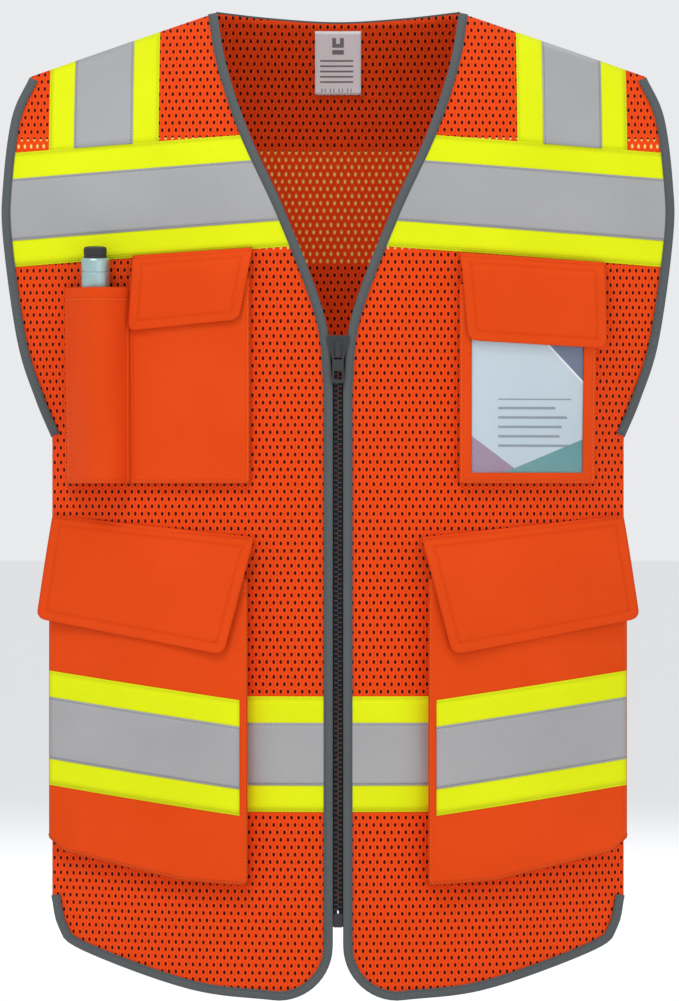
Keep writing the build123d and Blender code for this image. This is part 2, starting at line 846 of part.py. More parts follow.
def cargo_flap_rise(x, z):
    middle = (cargo_flap_in + cargo_flap_out) / 2
    off = (abs(x) - middle) / (cargo_flap_out - middle)
    rise = flap_rise(cargo_hinge_z(abs(x)) - z, cargo_ramp, flap_root_lift, cargo_flap_lift)
    return rise + straighten * off * off


def flap(node, s, corners, rise, steps):
    """A flap cut from a sheet that follows the pocket under it, its free corners rounded."""
    xs = [abs(x) for x, z in corners]
    zs = [z for x, z in corners]
    x_low, x_high = min(xs) - 8, max(xs) + 8
    x_range = (x_low, x_high) if s > 0 else (-x_high, -x_low)
    face = cloth_face(-1, rise, x_range, (min(zs) - 8, max(zs) + 8), steps)
    with BuildPart() as piece:
        with BuildSketch(Plane.XZ) as outline:
            Polygon(*[(s * x, z) for x, z in corners], align=None)
            fillet(outline.vertices().sort_by(Axis.Y)[:2], radius=flap_corner)
        extrude(amount=reach)
        add(ply(face, -1, 0, flap_cloth), mode=Mode.INTERSECT)
    save(piece.part, node)


def patch(s, x_in, x_out, edge_z, drop, layer):
    """One half of a hook and loop closure."""
    with BuildPart() as piece:
        with BuildSketch(Plane.XZ):
            Polygon(
                (s * x_in, edge_z(x_in) - drop),
                (s * x_out, edge_z(x_out) - drop),
                (s * x_out, edge_z(x_out) - drop - patch_height),
                (s * x_in, edge_z(x_in) - drop - patch_height),
                align=None,
            )
        extrude(amount=reach)
        add(layer, mode=Mode.INTERSECT)
    return piece.part


chest_corners = [(chest_flap_in, chest_hinge_z(chest_flap_in)), (chest_flap_out, chest_hinge_z(chest_flap_out)),
                 (chest_flap_out + 4.3, -chest_hinge_drop - 64.4), (chest_flap_in + 10.4, -chest_hinge_drop - 55.6)]
badge_corners = [(badge_flap_in, badge_hinge_z(badge_flap_in)), (badge_flap_out, badge_hinge_z(badge_flap_out)),
                 (badge_flap_out + 1.6, -badge_hinge_drop - 80.2), (badge_flap_in + 6.1, -badge_hinge_drop - 74.2)]
cargo_corners = [(cargo_flap_in, cargo_hinge_z(cargo_flap_in)), (cargo_flap_out, cargo_hinge_z(cargo_flap_out)),
                 (cargo_flap_out + 12.6, hem + 302.6), (cargo_flap_in + 24, hem + 274.6)]
flap("right_chest_flap", -1, chest_corners, chest_flap_rise, (16, 24))
flap("left_badge_flap", 1, badge_corners, badge_flap_rise, (16, 24))

chest_patch = (chest_flap_in + 28, chest_flap_out - 24)
badge_patch = (badge_flap_in + 38, badge_flap_out - 38)
loop_low = chest_lift + pocket_cloth + ply_gap
hook_top = chest_flap_lift - ply_gap
chest_hook_ply = front_ply(hook_top - patch_thick, patch_thick)
save(patch(-1, *chest_patch, chest_hinge_z, chest_patch_drop, chest_hook_ply), "right_chest_hook")
save(patch(1, *badge_patch, badge_hinge_z, chest_patch_drop, chest_hook_ply), "left_badge_hook")

# The loop patches on one front are identical in kind and share a node.
cargo_patch = (cargo_flap_in + 56, cargo_flap_out - 56)
cargo_loop_low = cargo_lift + pocket_cloth + ply_gap
cargo_hook_low = cargo_flap_lift - ply_gap - patch_thick
small_patches = {"right": (-1, chest_patch, chest_hinge_z), "left": (1, badge_patch, badge_hinge_z)}
for side, (s, small_patch, small_hinge) in small_patches.items():
    flap(f"{side}_cargo_flap", s, cargo_corners, cargo_flap_rise, (24, 30))
    small_loop = patch(s, *small_patch, small_hinge, chest_patch_drop, front_ply(loop_low, patch_thick))
    big_loop = patch(s, *cargo_patch, cargo_hinge_z, cargo_patch_drop, front_ply(cargo_loop_low, patch_thick))
    save(small_loop + big_loop, f"{side}_loop_patches")
    big_hook = patch(s, *cargo_patch, cargo_hinge_z, cargo_patch_drop, front_ply(cargo_hook_low, patch_thick))
    save(big_hook, f"{side}_cargo_hook")

# ---- torch in the pen pocket -------------------------------------------------------------

torch_foot_z = -torch_top - torch_length
torch_head = Vector(-torch_x, front_y(torch_x, -torch_top, torch_lift), -torch_top)
torch_foot = Vector(-torch_x, front_y(torch_x, torch_foot_z, torch_lift), torch_foot_z)
torch_axis = (torch_head - torch_foot).normalized()

with BuildPart() as torch_body:
    with BuildSketch(Plane(origin=torch_foot, z_dir=torch_axis)):
        Circle(torch_radius)
    extrude(amount=torch_length)
    fillet(torch_body.edges().sort_by(Axis.Z)[0], radius=1.5)
    chamfer(torch_body.edges().sort_by(Axis.Z)[-1], length=0.8)
save(torch_body.part, "torch_body")

with BuildPart() as torch_cap:
    with BuildSketch(Plane(origin=torch_head + torch_axis * 0.05, z_dir=torch_axis)):
        Circle(cap_radius)
    extrude(amount=cap_height)
    fillet(torch_cap.edges().sort_by(Axis.Z)[-1], radius=2.5)
save(torch_cap.part, "torch_cap")
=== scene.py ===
import math
import bmesh
import bpy
import numpy as np
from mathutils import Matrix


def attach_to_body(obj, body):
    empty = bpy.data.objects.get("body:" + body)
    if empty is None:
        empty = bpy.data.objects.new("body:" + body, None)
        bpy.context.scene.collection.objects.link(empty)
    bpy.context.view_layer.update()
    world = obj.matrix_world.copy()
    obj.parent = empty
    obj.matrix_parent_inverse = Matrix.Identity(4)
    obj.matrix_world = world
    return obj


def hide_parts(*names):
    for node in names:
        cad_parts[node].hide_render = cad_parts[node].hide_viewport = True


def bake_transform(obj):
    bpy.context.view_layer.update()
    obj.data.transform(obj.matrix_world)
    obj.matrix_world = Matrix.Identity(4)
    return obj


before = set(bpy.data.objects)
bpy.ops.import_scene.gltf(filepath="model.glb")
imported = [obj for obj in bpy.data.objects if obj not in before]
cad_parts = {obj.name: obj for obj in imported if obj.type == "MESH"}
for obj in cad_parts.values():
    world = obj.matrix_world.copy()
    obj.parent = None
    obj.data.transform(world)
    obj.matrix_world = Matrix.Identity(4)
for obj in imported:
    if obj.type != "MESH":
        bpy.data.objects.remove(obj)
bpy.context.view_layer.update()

# High visibility vest. Shapes below are in millimetres in the front view (x across, z up)
# and become metres as each mesh is made.
mm = 0.001

# Camera and lights, in metres.
view = {
    "distance": 7.0, "centreX": 0.0012, "centreZ": -0.3935,
    "frameHeight": 0.801,   # what the frame takes in, top to bottom, at the vest's front
    "frontDepth": 0.06,     # how far that front is from the middle of the vest
    "sensor": 24.0, "farthest": 200.0,
}
cameraData = bpy.data.cameras.new("vestCamera")
cameraData.sensor_fit = "VERTICAL"
cameraData.sensor_height = view["sensor"]
cameraData.lens = view["sensor"] * (view["distance"] - view["frontDepth"]) / view["frameHeight"]
cameraData.clip_end = view["farthest"]
camera = bpy.data.objects.new("vestCamera", cameraData)
camera.location = (view["centreX"], -view["distance"], view["centreZ"])
camera.rotation_euler = (math.pi / 2, 0.0, 0.0)
bpy.context.collection.objects.link(camera)
bpy.context.scene.camera = camera
bpy.context.scene.view_settings.view_transform = "Standard"

lightAim = (0.0, 0.0, -0.4)
lights = {
    "keyLight": {"at": (-0.9, -2.6, 3.0), "size": 1.3, "power": 50.0},
    "fillLight": {"at": (2.6, -4.4, 0.4), "size": 3.0, "power": 18.0},
    "backLight": {"at": (0.6, 4.0, 2.6), "size": 2.4, "power": 62.0},
}
for lightName, light in lights.items():
    lightData = bpy.data.lights.new(lightName, "AREA")
    lightData.size = light["size"]
    lightData.energy = light["power"]
    lamp = bpy.data.objects.new(lightName, lightData)
    lamp.location = light["at"]
    aim = np.array(lightAim) - np.array(light["at"])
    tilt = math.acos(-aim[2] / np.linalg.norm(aim))
    lamp.rotation_euler = (tilt, 0.0, math.atan2(-aim[0], aim[1]))
    bpy.context.collection.objects.link(lamp)
print("camera and lights set")


# Shader maths: a wrapped socket, so that sums on it add Math nodes.
class Link:
    def __init__(self, tree, socket=None):
        self.tree = tree
        self.socket = socket

    def node(self, kind, settings, values, output=0):
        made = self.tree.nodes.new(kind)
        for setting, value in settings.items():
            setattr(made, setting, value)
        for key, value in values.items():
            target = made.inputs[key]
            if isinstance(value, Link):
                self.tree.links.new(value.socket, target)
            else:
                target.default_value = value
        return Link(self.tree, made.outputs[output])

    def math(self, operation, *values):
        return self.node("ShaderNodeMath", {"operation": operation}, dict(enumerate(values)))

    def __add__(self, other):
        return self.math("ADD", self, other)

    def __radd__(self, other):
        return self.math("ADD", other, self)

    def __sub__(self, other):
        return self.math("SUBTRACT", self, other)

    def __rsub__(self, other):
        return self.math("SUBTRACT", other, self)

    def __mul__(self, other):
        return self.math("MULTIPLY", self, other)

    def __rmul__(self, other):
        return self.math("MULTIPLY", other, self)

    def __truediv__(self, other):
        return self.math("DIVIDE", self, other)

    def __rtruediv__(self, other):
        return self.math("DIVIDE", other, self)

    def __abs__(self):
        return self.math("ABSOLUTE", self)

    def orMore(self, other):
        # the greater of the two
        return self.math("MAXIMUM", self, other)

    def above(self, low, high):
        # 0 below low, 1 above high, smooth between
        settings = {"interpolation_type": "SMOOTHSTEP"}
        return self.node("ShaderNodeMapRange", settings, {0: self, 1: low, 2: high})

    def within(self, low, high, soft):
        # 1 from low to high, fading over a length of soft at each end
        return self.above(low, low + soft) * (1.0 - self.above(high - soft, high))

    def near(self, middle, half):
        # 1 on a line at middle, 0 further off than half
        return 1.0 - abs(self - middle).above(half * 0.6, half)

    def fold(self, period):
        # -0.5 to 0.5 across each period
        turns = self / period
        return turns.math("FRACT", turns) - 0.5

    def tint(self, first, second):
        # a colour, first where this value is 0 and second where it is 1
        values = {"Factor": self, 6: first, 7: second}
        return self.node("ShaderNodeMix", {"data_type": "RGBA"}, values, 2)


def colour(red, green, blue):
    # screen values 0 to 255 to the linear colour that the shader wants
    def linear(value):
        part = value / 255.0
        return part / 12.92 if part <= 0.04045 else ((part + 0.055) / 1.055) ** 2.4
    return (linear(red), linear(green), linear(blue), 1.0)


def shade(base, times, plus=0.0):
    return tuple(min(1.0, value * times + plus) for value in base[:3]) + (1.0,)


def newMaterial(name, roughness, fixed=None):
    material = bpy.data.materials.new(name)
    material.use_nodes = True
    shader = material.node_tree.nodes["Principled BSDF"]
    for socketName, value in {"Roughness": roughness, **(fixed or {})}.items():
        shader.inputs[socketName].default_value = value
    return material, Link(material.node_tree), shader


def finishMaterial(start, shader, baseColour, height, strength, depth, roughness=None):
    links = start.tree.links
    links.new(baseColour.socket, shader.inputs["Base Color"])
    if roughness is not None:
        links.new(roughness.socket, shader.inputs["Roughness"])
    bumpValues = {"Strength": strength, "Distance": depth, "Height": height}
    bump = start.node("ShaderNodeBump", {}, bumpValues)
    links.new(bump.socket, shader.inputs["Normal"])


def coordinates(start, attribute):
    # a piece's own measured coordinates, in millimetres
    vector = start.node("ShaderNodeAttribute", {"attribute_name": attribute}, {}, "Vector")
    return [start.node("ShaderNodeSeparateXYZ", {}, {0: vector}, axis) for axis in ("X", "Y")]


def cloudiness(start, scale, detail=3.0):
    place = start.node("ShaderNodeTexCoord", {}, {}, "Object")
    values = {"Vector": place, "Scale": scale, "Detail": detail}
    return start.node("ShaderNodeTexNoise", {}, values, 0)


# Stitches: thread and furrow widths, and the part of each pitch where the thread dips.
stitches = {"thread": 0.55, "furrowTimes": 3.2, "dipFrom": 0.30, "dipTo": 0.38}


def sewing(start, lines, pitch, width=stitches["thread"]):
    # dashes and the furrow they pull, along lines at these distances from the piece's edge
    edge, along = coordinates(start, "seam")
    dashes = 1.0 - abs(along.fold(pitch)).above(stitches["dipFrom"], stitches["dipTo"])
    thread = None
    furrow = None
    for line in lines:
        here = edge.near(line, width) * dashes
        dip = edge.near(line, width * stitches["furrowTimes"])
        thread = here if thread is None else thread.orMore(here)
        furrow = dip if furrow is None else furrow.orMore(dip)
    return thread, furrow


clothGloss = {"Specular IOR Level": 0.08}
eyelets = {
    "across": 5.7, "down": 5.9, "holeWidth": 1.12, "holeHeight": 1.8, "rib": 0.95, "course": 0.74,
    "shadedHole": (0.72, 1.12), "rimInner": (0.95, 1.25), "rimOuter": (1.35, 2.3),   # in hole sizes
    "bump": 0.55, "depth": 0.0007,
}


def meshMaterial(name, cloth, shadedHole, bands):
    # knitted mesh: staggered eyelets with raised rims on a fine rib. The eyelets carry painted
    # shade, and the tape's cream back where a band lies behind them; the rims carry a painted
    # highlight and the grooves of the rib carry painted shade.
    material, start, shader = newMaterial(name, 0.85, clothGloss)
    across, down = coordinates(start, "weave")
    row = down / eyelets["down"]
    row = row.math("FLOOR", row)
    shift = abs(row.math("MODULO", row, 2.0)) * (eyelets["across"] / 2)
    cellX = (across + shift).fold(eyelets["across"]) * (eyelets["across"] / eyelets["holeWidth"])
    cellZ = down.fold(eyelets["down"]) * (eyelets["down"] / eyelets["holeHeight"])
    spread = cellX * cellX + cellZ * cellZ
    spread = spread.math("SQRT", spread)
    opening = 1.0 - spread.above(*eyelets["shadedHole"])
    rim = spread.above(*eyelets["rimInner"]) * (1.0 - spread.above(*eyelets["rimOuter"]))
    ribs = across.fold(eyelets["rib"])
    ribs = 1.0 - ribs * ribs * 4.0
    courses = down.fold(eyelets["course"])
    courses = 1.0 - courses * courses * 4.0
    yarn = ribs * 0.6 + courses * 0.4
    # random cloudy tone, with painted shade darkening the grooves between ribs and courses
    base = (cloudiness(start, 9.0) * 0.55 + yarn * 0.35).tint(shade(cloth, 0.80), cloth)
    # painted highlight: the raised rims round the eyelets are tinted lighter
    base = (rim * 0.75).tint(base, shade(cloth, 1.12, 0.015))
    # painted shade fills the eyelets; where a band lies behind them, the tape's cream back shows
    # instead
    shadeAndTapeBehind = shadedHole
    for low, high, seen in bands:
        shadeAndTapeBehind = down.within(low, high, 1.0).tint(shadeAndTapeBehind, seen)
    base = opening.tint(base, shadeAndTapeBehind)
    height = (1.0 - opening) * 0.8 + rim * 0.35 + yarn * 0.12
    finishMaterial(start, shader, base, height, eyelets["bump"], eyelets["depth"])
    return material


def clothMaterial(name, cloth, lines=(), rib=0.8, roughness=0.8, thread=None, pitch=3.0):
    # plain close knit with optional rows of stitches; painted shade darkens the grooves between
    # yarns and the furrows that the stitches pull
    material, start, shader = newMaterial(name, roughness, clothGloss)
    across, down = coordinates(start, "weave")
    ribs = across.fold(rib)
    courses = (down + across * 0.35).fold(rib * 0.9)
    yarn = 1.0 - (ribs * ribs * 2.4 + courses * courses * 1.6)
    darker = shade(cloth, 0.82)
    # random cloudy tone, with painted shade darkening the grooves between yarns
    base = (cloudiness(start, 11.0) * 0.7 + yarn * 0.3).tint(darker, shade(cloth, 1.08, 0.008))
    height = yarn * 0.22
    if lines:
        dashes, furrow = sewing(start, lines, pitch)
        # painted shade in the furrows that the stitches pull
        base = (furrow * 0.25).tint(base, darker)
        base = (dashes * 0.6).tint(base, thread)
        height = height + dashes * 0.5 - furrow * 0.7
    finishMaterial(start, shader, base, height, 0.5, 0.0006)
    return material


colours = {
    "mesh": colour(234, 70, 8),
    "cloth": colour(226, 71, 6),
    # painted shade, the dark seen inside the eyelets
    "shadedHole": colour(46, 18, 9),
    "lime": colour(226, 238, 8),
    "binding": colour(88, 93, 95),
    "black": colour(34, 35, 37),
    "cream": colour(238, 214, 120),   # the tape's back, seen through the eyelets
    "patch": colour(205, 64, 22),
    "pocketThread": colour(240, 104, 48),
    "flapThread": colour(214, 60, 10),
    "limeThread": colour(196, 208, 40),
    "bindingThread": colour(70, 74, 76),
}
# Stitch rows, by distance from a piece's edge. A pocket's mouth is marked from mouthMark on.
mouthMark = 20.0
stitchRows = {"pocket": (1.6, mouthMark + 9.6), "flap": (7.6,), "tape": (1.8,),
              "silver": (1.6,), "binding": (1.5,), "patch": (1.2,)}
backBands = ((-200.0, -108.0, colours["cream"]), (-641.5, -549.5, colours["cream"]))
frontBands = ((-196.0, -103.0, colours["cream"]), (-641.5, -549.5, colours["cream"]))
backMesh = meshMaterial("orangeMeshBack", colours["mesh"], colours["shadedHole"], backBands)
frontMesh = meshMaterial("orangeMeshFront", colours["mesh"], colours["shadedHole"], frontBands)
pocketCloth = clothMaterial("pocketCloth", colours["cloth"], stitchRows["pocket"],
                            thread=colours["pocketThread"])
flapCloth = clothMaterial("flapCloth", colours["cloth"], stitchRows["flap"],
                          thread=colours["flapThread"])
limeTape = clothMaterial("limeTape", colours["lime"], stitchRows["tape"], 0.7, 0.75,
                         thread=colours["limeThread"])
bindingCloth = clothMaterial("edgeBinding", colours["binding"], stitchRows["binding"], 0.6, 0.7,
                             thread=colours["bindingThread"], pitch=2.6)
zipCloth = clothMaterial("zipTape", colours["black"], (), 0.6, 0.8)
patchCloth = clothMaterial("hookAndLoop", colours["patch"], stitchRows["patch"], 0.5, 0.95,
                           thread=shade(colours["patch"], 1.08, 0.008))


def silverMaterial():
    # glass-bead tape: fine grain, soft patches and a row of stitches at each edge
    material, start, shader = newMaterial("reflectiveTape", 0.5)
    grain = cloudiness(start, 900.0, 2.0)
    soft = cloudiness(start, 14.0, 5.0)
    base = (soft * 0.75 + grain * 0.25).tint(colour(146, 147, 148), colour(170, 170, 171))
    dashes, furrow = sewing(start, stitchRows["silver"], 2.6, 0.5)
    base = (dashes * 0.75).tint(base, colour(96, 96, 98))
    height = grain * 0.18 + soft * 0.25 - furrow * 0.6
    finishMaterial(start, shader, base, height, 0.35, 0.0005, soft * 0.16 + 0.44)
    return material


silverTape = silverMaterial()


def hardMaterial(name, first, second, roughness, metallic=0.0, coat=0.0):
    fixed = {"Metallic": metallic, "Coat Weight": coat}
    material, start, shader = newMaterial(name, roughness, fixed)
    grain = cloudiness(start, 1200.0)
    soft = cloudiness(start, 120.0, 4.0)
    base = (soft * 0.6 + grain * 0.4).tint(first, second)
    rough = soft * 0.22 + (roughness - 0.08)
    finishMaterial(start, shader, base, grain * 0.3 + soft * 0.3, 0.18, 0.0003, rough)
    return material


zipPlastic = hardMaterial("zipPlastic", colour(26, 27, 29), colour(48, 49, 52), 0.45)
zipMetal = hardMaterial("zipLacquer", colour(30, 31, 33), colour(58, 59, 62), 0.32, 0.35, 0.3)
torchMetal = hardMaterial("torchMetal", colour(150, 182, 184), colour(182, 206, 206), 0.34, 0.75)
torchRubber = hardMaterial("torchCapPlastic", colour(22, 22, 24), colour(44, 44, 47), 0.5)
print("materials made")

# The vest's shape.
body = {
    "halfWidth": 230.5, "hem": -791.0, "frontBow": 95.0, "backBow": 90.0, "seamGap": 0.4,
    "neckHalf": 98.5, "neckRound": 30.0, "neckFoot": -303.0, "shoulderHalf": 248.0,
    "shoulderDrop": 52.5, "underarm": -342.0, "sideHem": -712.0, "backHem": -728.0,
    "backHemRise": 16.0, "frontEdge": 5.0, "hemCorner": 43.0,
}
hem = body["hem"]
halfWidth = body["halfWidth"]

# How the cloth stands out from the middle: half span at the sides and the growth of it above
# the underarm, the roundness of that change, and how the shoulders lean in.
bulge = {"span": 231.0, "growth": 189.0, "rate": 1.7, "sharp": 3.0, "soft": 90.0,
         "shoulderDepth": 270.0, "shoulderPower": 3.5}


def shoulderLine(x):
    fall = body["shoulderDrop"] / (body["shoulderHalf"] - body["neckHalf"])
    start = math.hypot(body["neckHalf"], body["neckRound"])
    return fall * (start - np.sqrt(x * x + body["neckRound"] ** 2))


def standOut(x, z, bow):
    above = z - body["underarm"]
    middle = np.maximum(0.0, 1.0 - (x / bulge["span"]) ** 2)
    soften = bulge["sharp"] + bulge["soft"] * middle
    rise = (above + np.sqrt(above * above + soften * soften)) / 2
    grown = 1.0 - np.exp(-bulge["rate"] * rise / bulge["growth"])
    span = bulge["span"] + bulge["growth"] * grown
    below = shoulderLine(x) - z
    lean = np.maximum(0.0, 1.0 - below / bulge["shoulderDepth"]) ** bulge["shoulderPower"]
    return bow * (1.0 - (x / span) ** 2) * (1.0 - lean)


# Folds in the cloth, -1 for the fronts and 1 for the back: where (x, z), which way each runs
# in degrees, how long, how wide and how high.
folds = {
    -1: ((-150, -470, 70, 110, 16, 1.6), (-60, -330, 82, 120, 13, 1.3),
         (60, -340, 98, 130, 14, 1.4), (150, -455, 112, 90, 15, 1.5),
         (-205, -400, 60, 60, 12, 1.4), (208, -420, 118, 70, 12, 1.5),
         (-45, -500, 84, 120, 14, 1.2), (48, -520, 95, 110, 13, 1.2),
         (-40, -700, 80, 60, 12, 1.0), (42, -705, 100, 60, 12, 1.0),
         (-225, -250, 75, 80, 12, 1.2), (226, -240, 104, 80, 12, 1.2),
         (-130, -720, 20, 60, 10, 1.0), (140, -722, 160, 60, 10, 1.0)),
    1: ((-150, -400, 75, 150, 20, 2.2), (-60, -430, 85, 170, 20, 2.0),
        (55, -380, 95, 160, 20, 2.0), (150, -420, 105, 150, 20, 2.2),
        (0, -300, 90, 90, 16, 1.4), (-100, -670, 88, 60, 14, 1.6),
        (95, -675, 94, 60, 14, 1.6), (0, -690, 90, 50, 14, 1.4),
        (-190, -620, 80, 60, 14, 1.2)),
}
# Folds fade out beside the zip, round the torch and at the shoulder seams.
foldEnds = {"zipFrom": 14.0, "zipOver": 22.0, "torchX": -193.6, "torchZ": -262.0,
            "torchWide": 34.0, "torchTall": 95.0, "shoulderOver": 60.0, "ripple": 0.7}


def drape(way, x, z):
    depth = np.zeros_like(x)
    for foldX, foldZ, angle, length, width, height in folds[way]:
        turn = math.radians(angle)
        along = (x - foldX) * math.cos(turn) + (z - foldZ) * math.sin(turn)
        across = (z - foldZ) * math.cos(turn) - (x - foldX) * math.sin(turn)
        depth = depth + height * np.exp(-(along / length) ** 2 - (across / width) ** 2)
    ripple = np.sin(x * 0.061 + z * 0.017 + 1.3) * np.sin(z * 0.029 - x * 0.013 + 0.4)
    depth = depth + foldEnds["ripple"] * ripple
    if way < 0:
        depth = depth * np.clip((np.abs(x) - foldEnds["zipFrom"]) / foldEnds["zipOver"], 0.0, 1.0)
        torchX = (x - foldEnds["torchX"]) / foldEnds["torchWide"]
        torchZ = (z - foldEnds["torchZ"]) / foldEnds["torchTall"]
        depth = depth * (1.0 - np.exp(-(torchX ** 4) - (torchZ ** 4)))
    return depth * np.clip((shoulderLine(x) - z) / foldEnds["shoulderOver"], 0.0, 1.0)


def onVest(way, x, z, lift):
    # front view places at a lift off the cloth's inner side; way is -1 in front, 1 behind
    bow = body["frontBow"] if way < 0 else body["backBow"]
    y = way * (standOut(x, z, bow) + body["seamGap"] + lift + drape(way, x, z))
    return np.stack([x, y, z], axis=-1)


def clothAcross(x):
    # distance round the cloth from the centre line, on a bow of 92 over a half span of 300
    bend = 2.0 * 92.0 / 300.0 ** 2
    return 0.5 * x * np.sqrt(1.0 + (bend * x) ** 2) + np.arcsinh(bend * x) / (2.0 * bend)


def throughPoints(points, steps=24):
    # a smooth line through the points
    points = np.array(points, dtype=float)
    slopes = np.gradient(points, axis=0)
    made = []
    for first, second, slopeA, slopeB in zip(points[:-1], points[1:], slopes[:-1], slopes[1:]):
        for step in range(steps):
            t = step / steps
            made.append((2 * t**3 - 3 * t**2 + 1) * first + (t**3 - 2 * t**2 + t) * slopeA
                        + (3 * t**2 - 2 * t**3) * second + (t**3 - t**2) * slopeB)
    made.append(points[-1])
    return np.array(made)


def backHem(x):
    return body["backHem"] + body["backHemRise"] * (x / halfWidth) ** 2


def frontHemLine():
    # a rounded corner by the zip, then a long sweep up to the side seam
    corner = body["hemCorner"]
    inner = body["frontEdge"]
    line = [(inner + corner * (1 - math.cos(turn)), hem + corner * (1 - math.sin(turn)))
            for turn in np.linspace(0, math.pi / 2, 14)]
    sweep = throughPoints(((inner + corner, hem), (118, hem + 8), (206.5, hem + 37),
                           (224.5, hem + 54), (halfWidth, body["sideHem"])))
    return np.array(line + [tuple(place) for place in sweep[1:]])


armholeLine = throughPoints(((halfWidth, body["underarm"]), (242.5, -312), (256.5, -266),
                             (268, -182), (268, -140), (261.5, -85), (248, -52.5)))
neckLine = throughPoints(((body["frontEdge"], body["neckFoot"]), (11.5, -247), (41.5, -167),
                          (71.5, -101), (90, -46), (98.5, 0)))
hemLine = frontHemLine()
backHemLine = np.array([(x, backHem(x)) for x in np.linspace(-halfWidth, halfWidth, 61)])
backNeckLine = throughPoints(((-98.5, 0), (-54, -4), (0, -6.5), (54, -4), (98.5, 0)))


def innerEdge(z):
    neck = np.interp(z, neckLine[:, 1], neckLine[:, 0])
    return np.where(z > body["neckFoot"], neck, body["frontEdge"])


def outerEdge(z):
    armhole = np.interp(z, armholeLine[:, 1], armholeLine[:, 0])
    return np.where(z > body["underarm"], armhole, halfWidth)


def farEdge(z):
    # the back's other side
    return -outerEdge(z)


def hemAt(x):
    return np.interp(x, hemLine[:, 0], hemLine[:, 1])


def constant(value):
    def line(x, *others):
        return np.full_like(x, value)
    return line


def spreadGrid(columns, rows, inner, outer, top, bottom, bunch=0.0):
    # a grid between two side lines x(z) and two end lines z(x), found in rounds from a guess
    across = np.linspace(0.0, 1.0, columns)
    across = across - bunch * np.sin(2 * math.pi * across) / (2 * math.pi)
    u, v = np.meshgrid(across, np.linspace(0.0, 1.0, rows))
    x = 5.0 + 225.0 * u
    for attempt in range(14):
        z = top(x) + (bottom(x) - top(x)) * v
        x = inner(z) + (outer(z) - inner(z)) * u
    return x, z


def meshObject(name, points, faces, marks, material, smooth=True):
    mesh = bpy.data.meshes.new(name)
    mesh.from_pydata((np.asarray(points) * mm).tolist(), [], faces)
    for markName, values in marks.items():
        layer = mesh.attributes.new(markName, "FLOAT_VECTOR", "POINT")
        layer.data.foreach_set("vector", np.ascontiguousarray(values, dtype=np.float32).ravel())
    mesh.validate()
    if smooth:
        mesh.shade_smooth()
    mesh.materials.append(material)
    made = bpy.data.objects.new(name, mesh)
    bpy.context.collection.objects.link(made)
    return made


def faceOutwards(piece, weld=0.0):
    work = bmesh.new()
    work.from_mesh(piece.data)
    if weld:
        bmesh.ops.remove_doubles(work, verts=work.verts, dist=weld)
    bmesh.ops.recalc_face_normals(work, faces=work.faces)
    work.to_mesh(piece.data)
    work.free()


def dropLoosePoints(piece):
    work = bmesh.new()
    work.from_mesh(piece.data)
    loose = [vertex for vertex in work.verts if not vertex.link_faces]
    bmesh.ops.delete(work, geom=loose, context="VERTS")
    work.to_mesh(piece.data)
    work.free()


def closedSheet(name, points, thick, way, material, seam=None, holes=None):
    # a grid of points made into a closed sheet, its given side outwards
    rows, columns = points.shape[:2]
    normal = np.cross(np.gradient(points, axis=1), np.gradient(points, axis=0))
    normal = normal / np.maximum(np.linalg.norm(normal, axis=-1, keepdims=True), 1e-9)
    if normal[..., 1].mean() * way < 0:
        points = points[:, ::-1]
        normal = -normal[:, ::-1]
        seam = None if seam is None else seam[:, ::-1]
        holes = None if holes is None else holes[:, ::-1]
    inside = points - normal * thick
    weave = np.stack([clothAcross(points[..., 0]), points[..., 2], points[..., 1]], axis=-1)
    if seam is None:
        seam = np.full(points.shape, 99.0)   # far from every stitch row
    count = rows * columns
    index = np.arange(count).reshape(rows, columns)
    keep = np.ones((rows - 1, columns - 1), bool) if holes is None else ~holes
    faces = []
    for row in range(rows - 1):
        for column in range(columns - 1):
            if not keep[row, column]:
                continue
            a, b = int(index[row, column]), int(index[row, column + 1])
            c, d = int(index[row + 1, column + 1]), int(index[row + 1, column])
            faces.append((a, b, c, d))
            faces.append((a + count, d + count, c + count, b + count))
            if row == 0 or not keep[row - 1, column]:
                faces.append((b, a, a + count, b + count))
            if row == rows - 2 or not keep[row + 1, column]:
                faces.append((d, c, c + count, d + count))
            if column == 0 or not keep[row, column - 1]:
                faces.append((a, d, d + count, a + count))
            if column == columns - 2 or not keep[row, column + 1]:
                faces.append((c, b, b + count, c + count))
    allPoints = np.concatenate([points.reshape(-1, 3), inside.reshape(-1, 3)])
    marks = {"weave": np.tile(weave.reshape(-1, 3), (2, 1)),
             "seam": np.tile(seam.reshape(-1, 3), (2, 1))}
    made = meshObject(name, allPoints, faces, marks, material)
    if holes is not None:
        dropLoosePoints(made)
    return made


def seamMarks(edge, along):
    return np.stack([edge, along, np.zeros_like(edge)], axis=-1)


def arcLengths(points, axis):
    steps = np.linalg.norm(np.diff(points, axis=axis), axis=-1)
    zero = np.zeros_like(np.take(steps, [0], axis=axis))
    return np.concatenate([zero, np.cumsum(steps, axis=axis)], axis=axis)


def gridEdges(points, edgeNames="tblr"):
    # distance to the nearest of the named edges (top, bottom, left, right), and along it
    across = arcLengths(points, 1)
    down = arcLengths(points, 0)
    choices = {
        "t": (down, across), "b": (down[-1:] - down, across),
        "l": (across, down), "r": (across[:, -1:] - across, down),
    }
    edge, along = np.full(across.shape, 999.0), across
    for edgeName in edgeNames:
        nearer = choices[edgeName][0] < edge
        along = np.where(nearer, choices[edgeName][1], along)
        edge = np.where(nearer, choices[edgeName][0], edge)
    return seamMarks(edge, along)


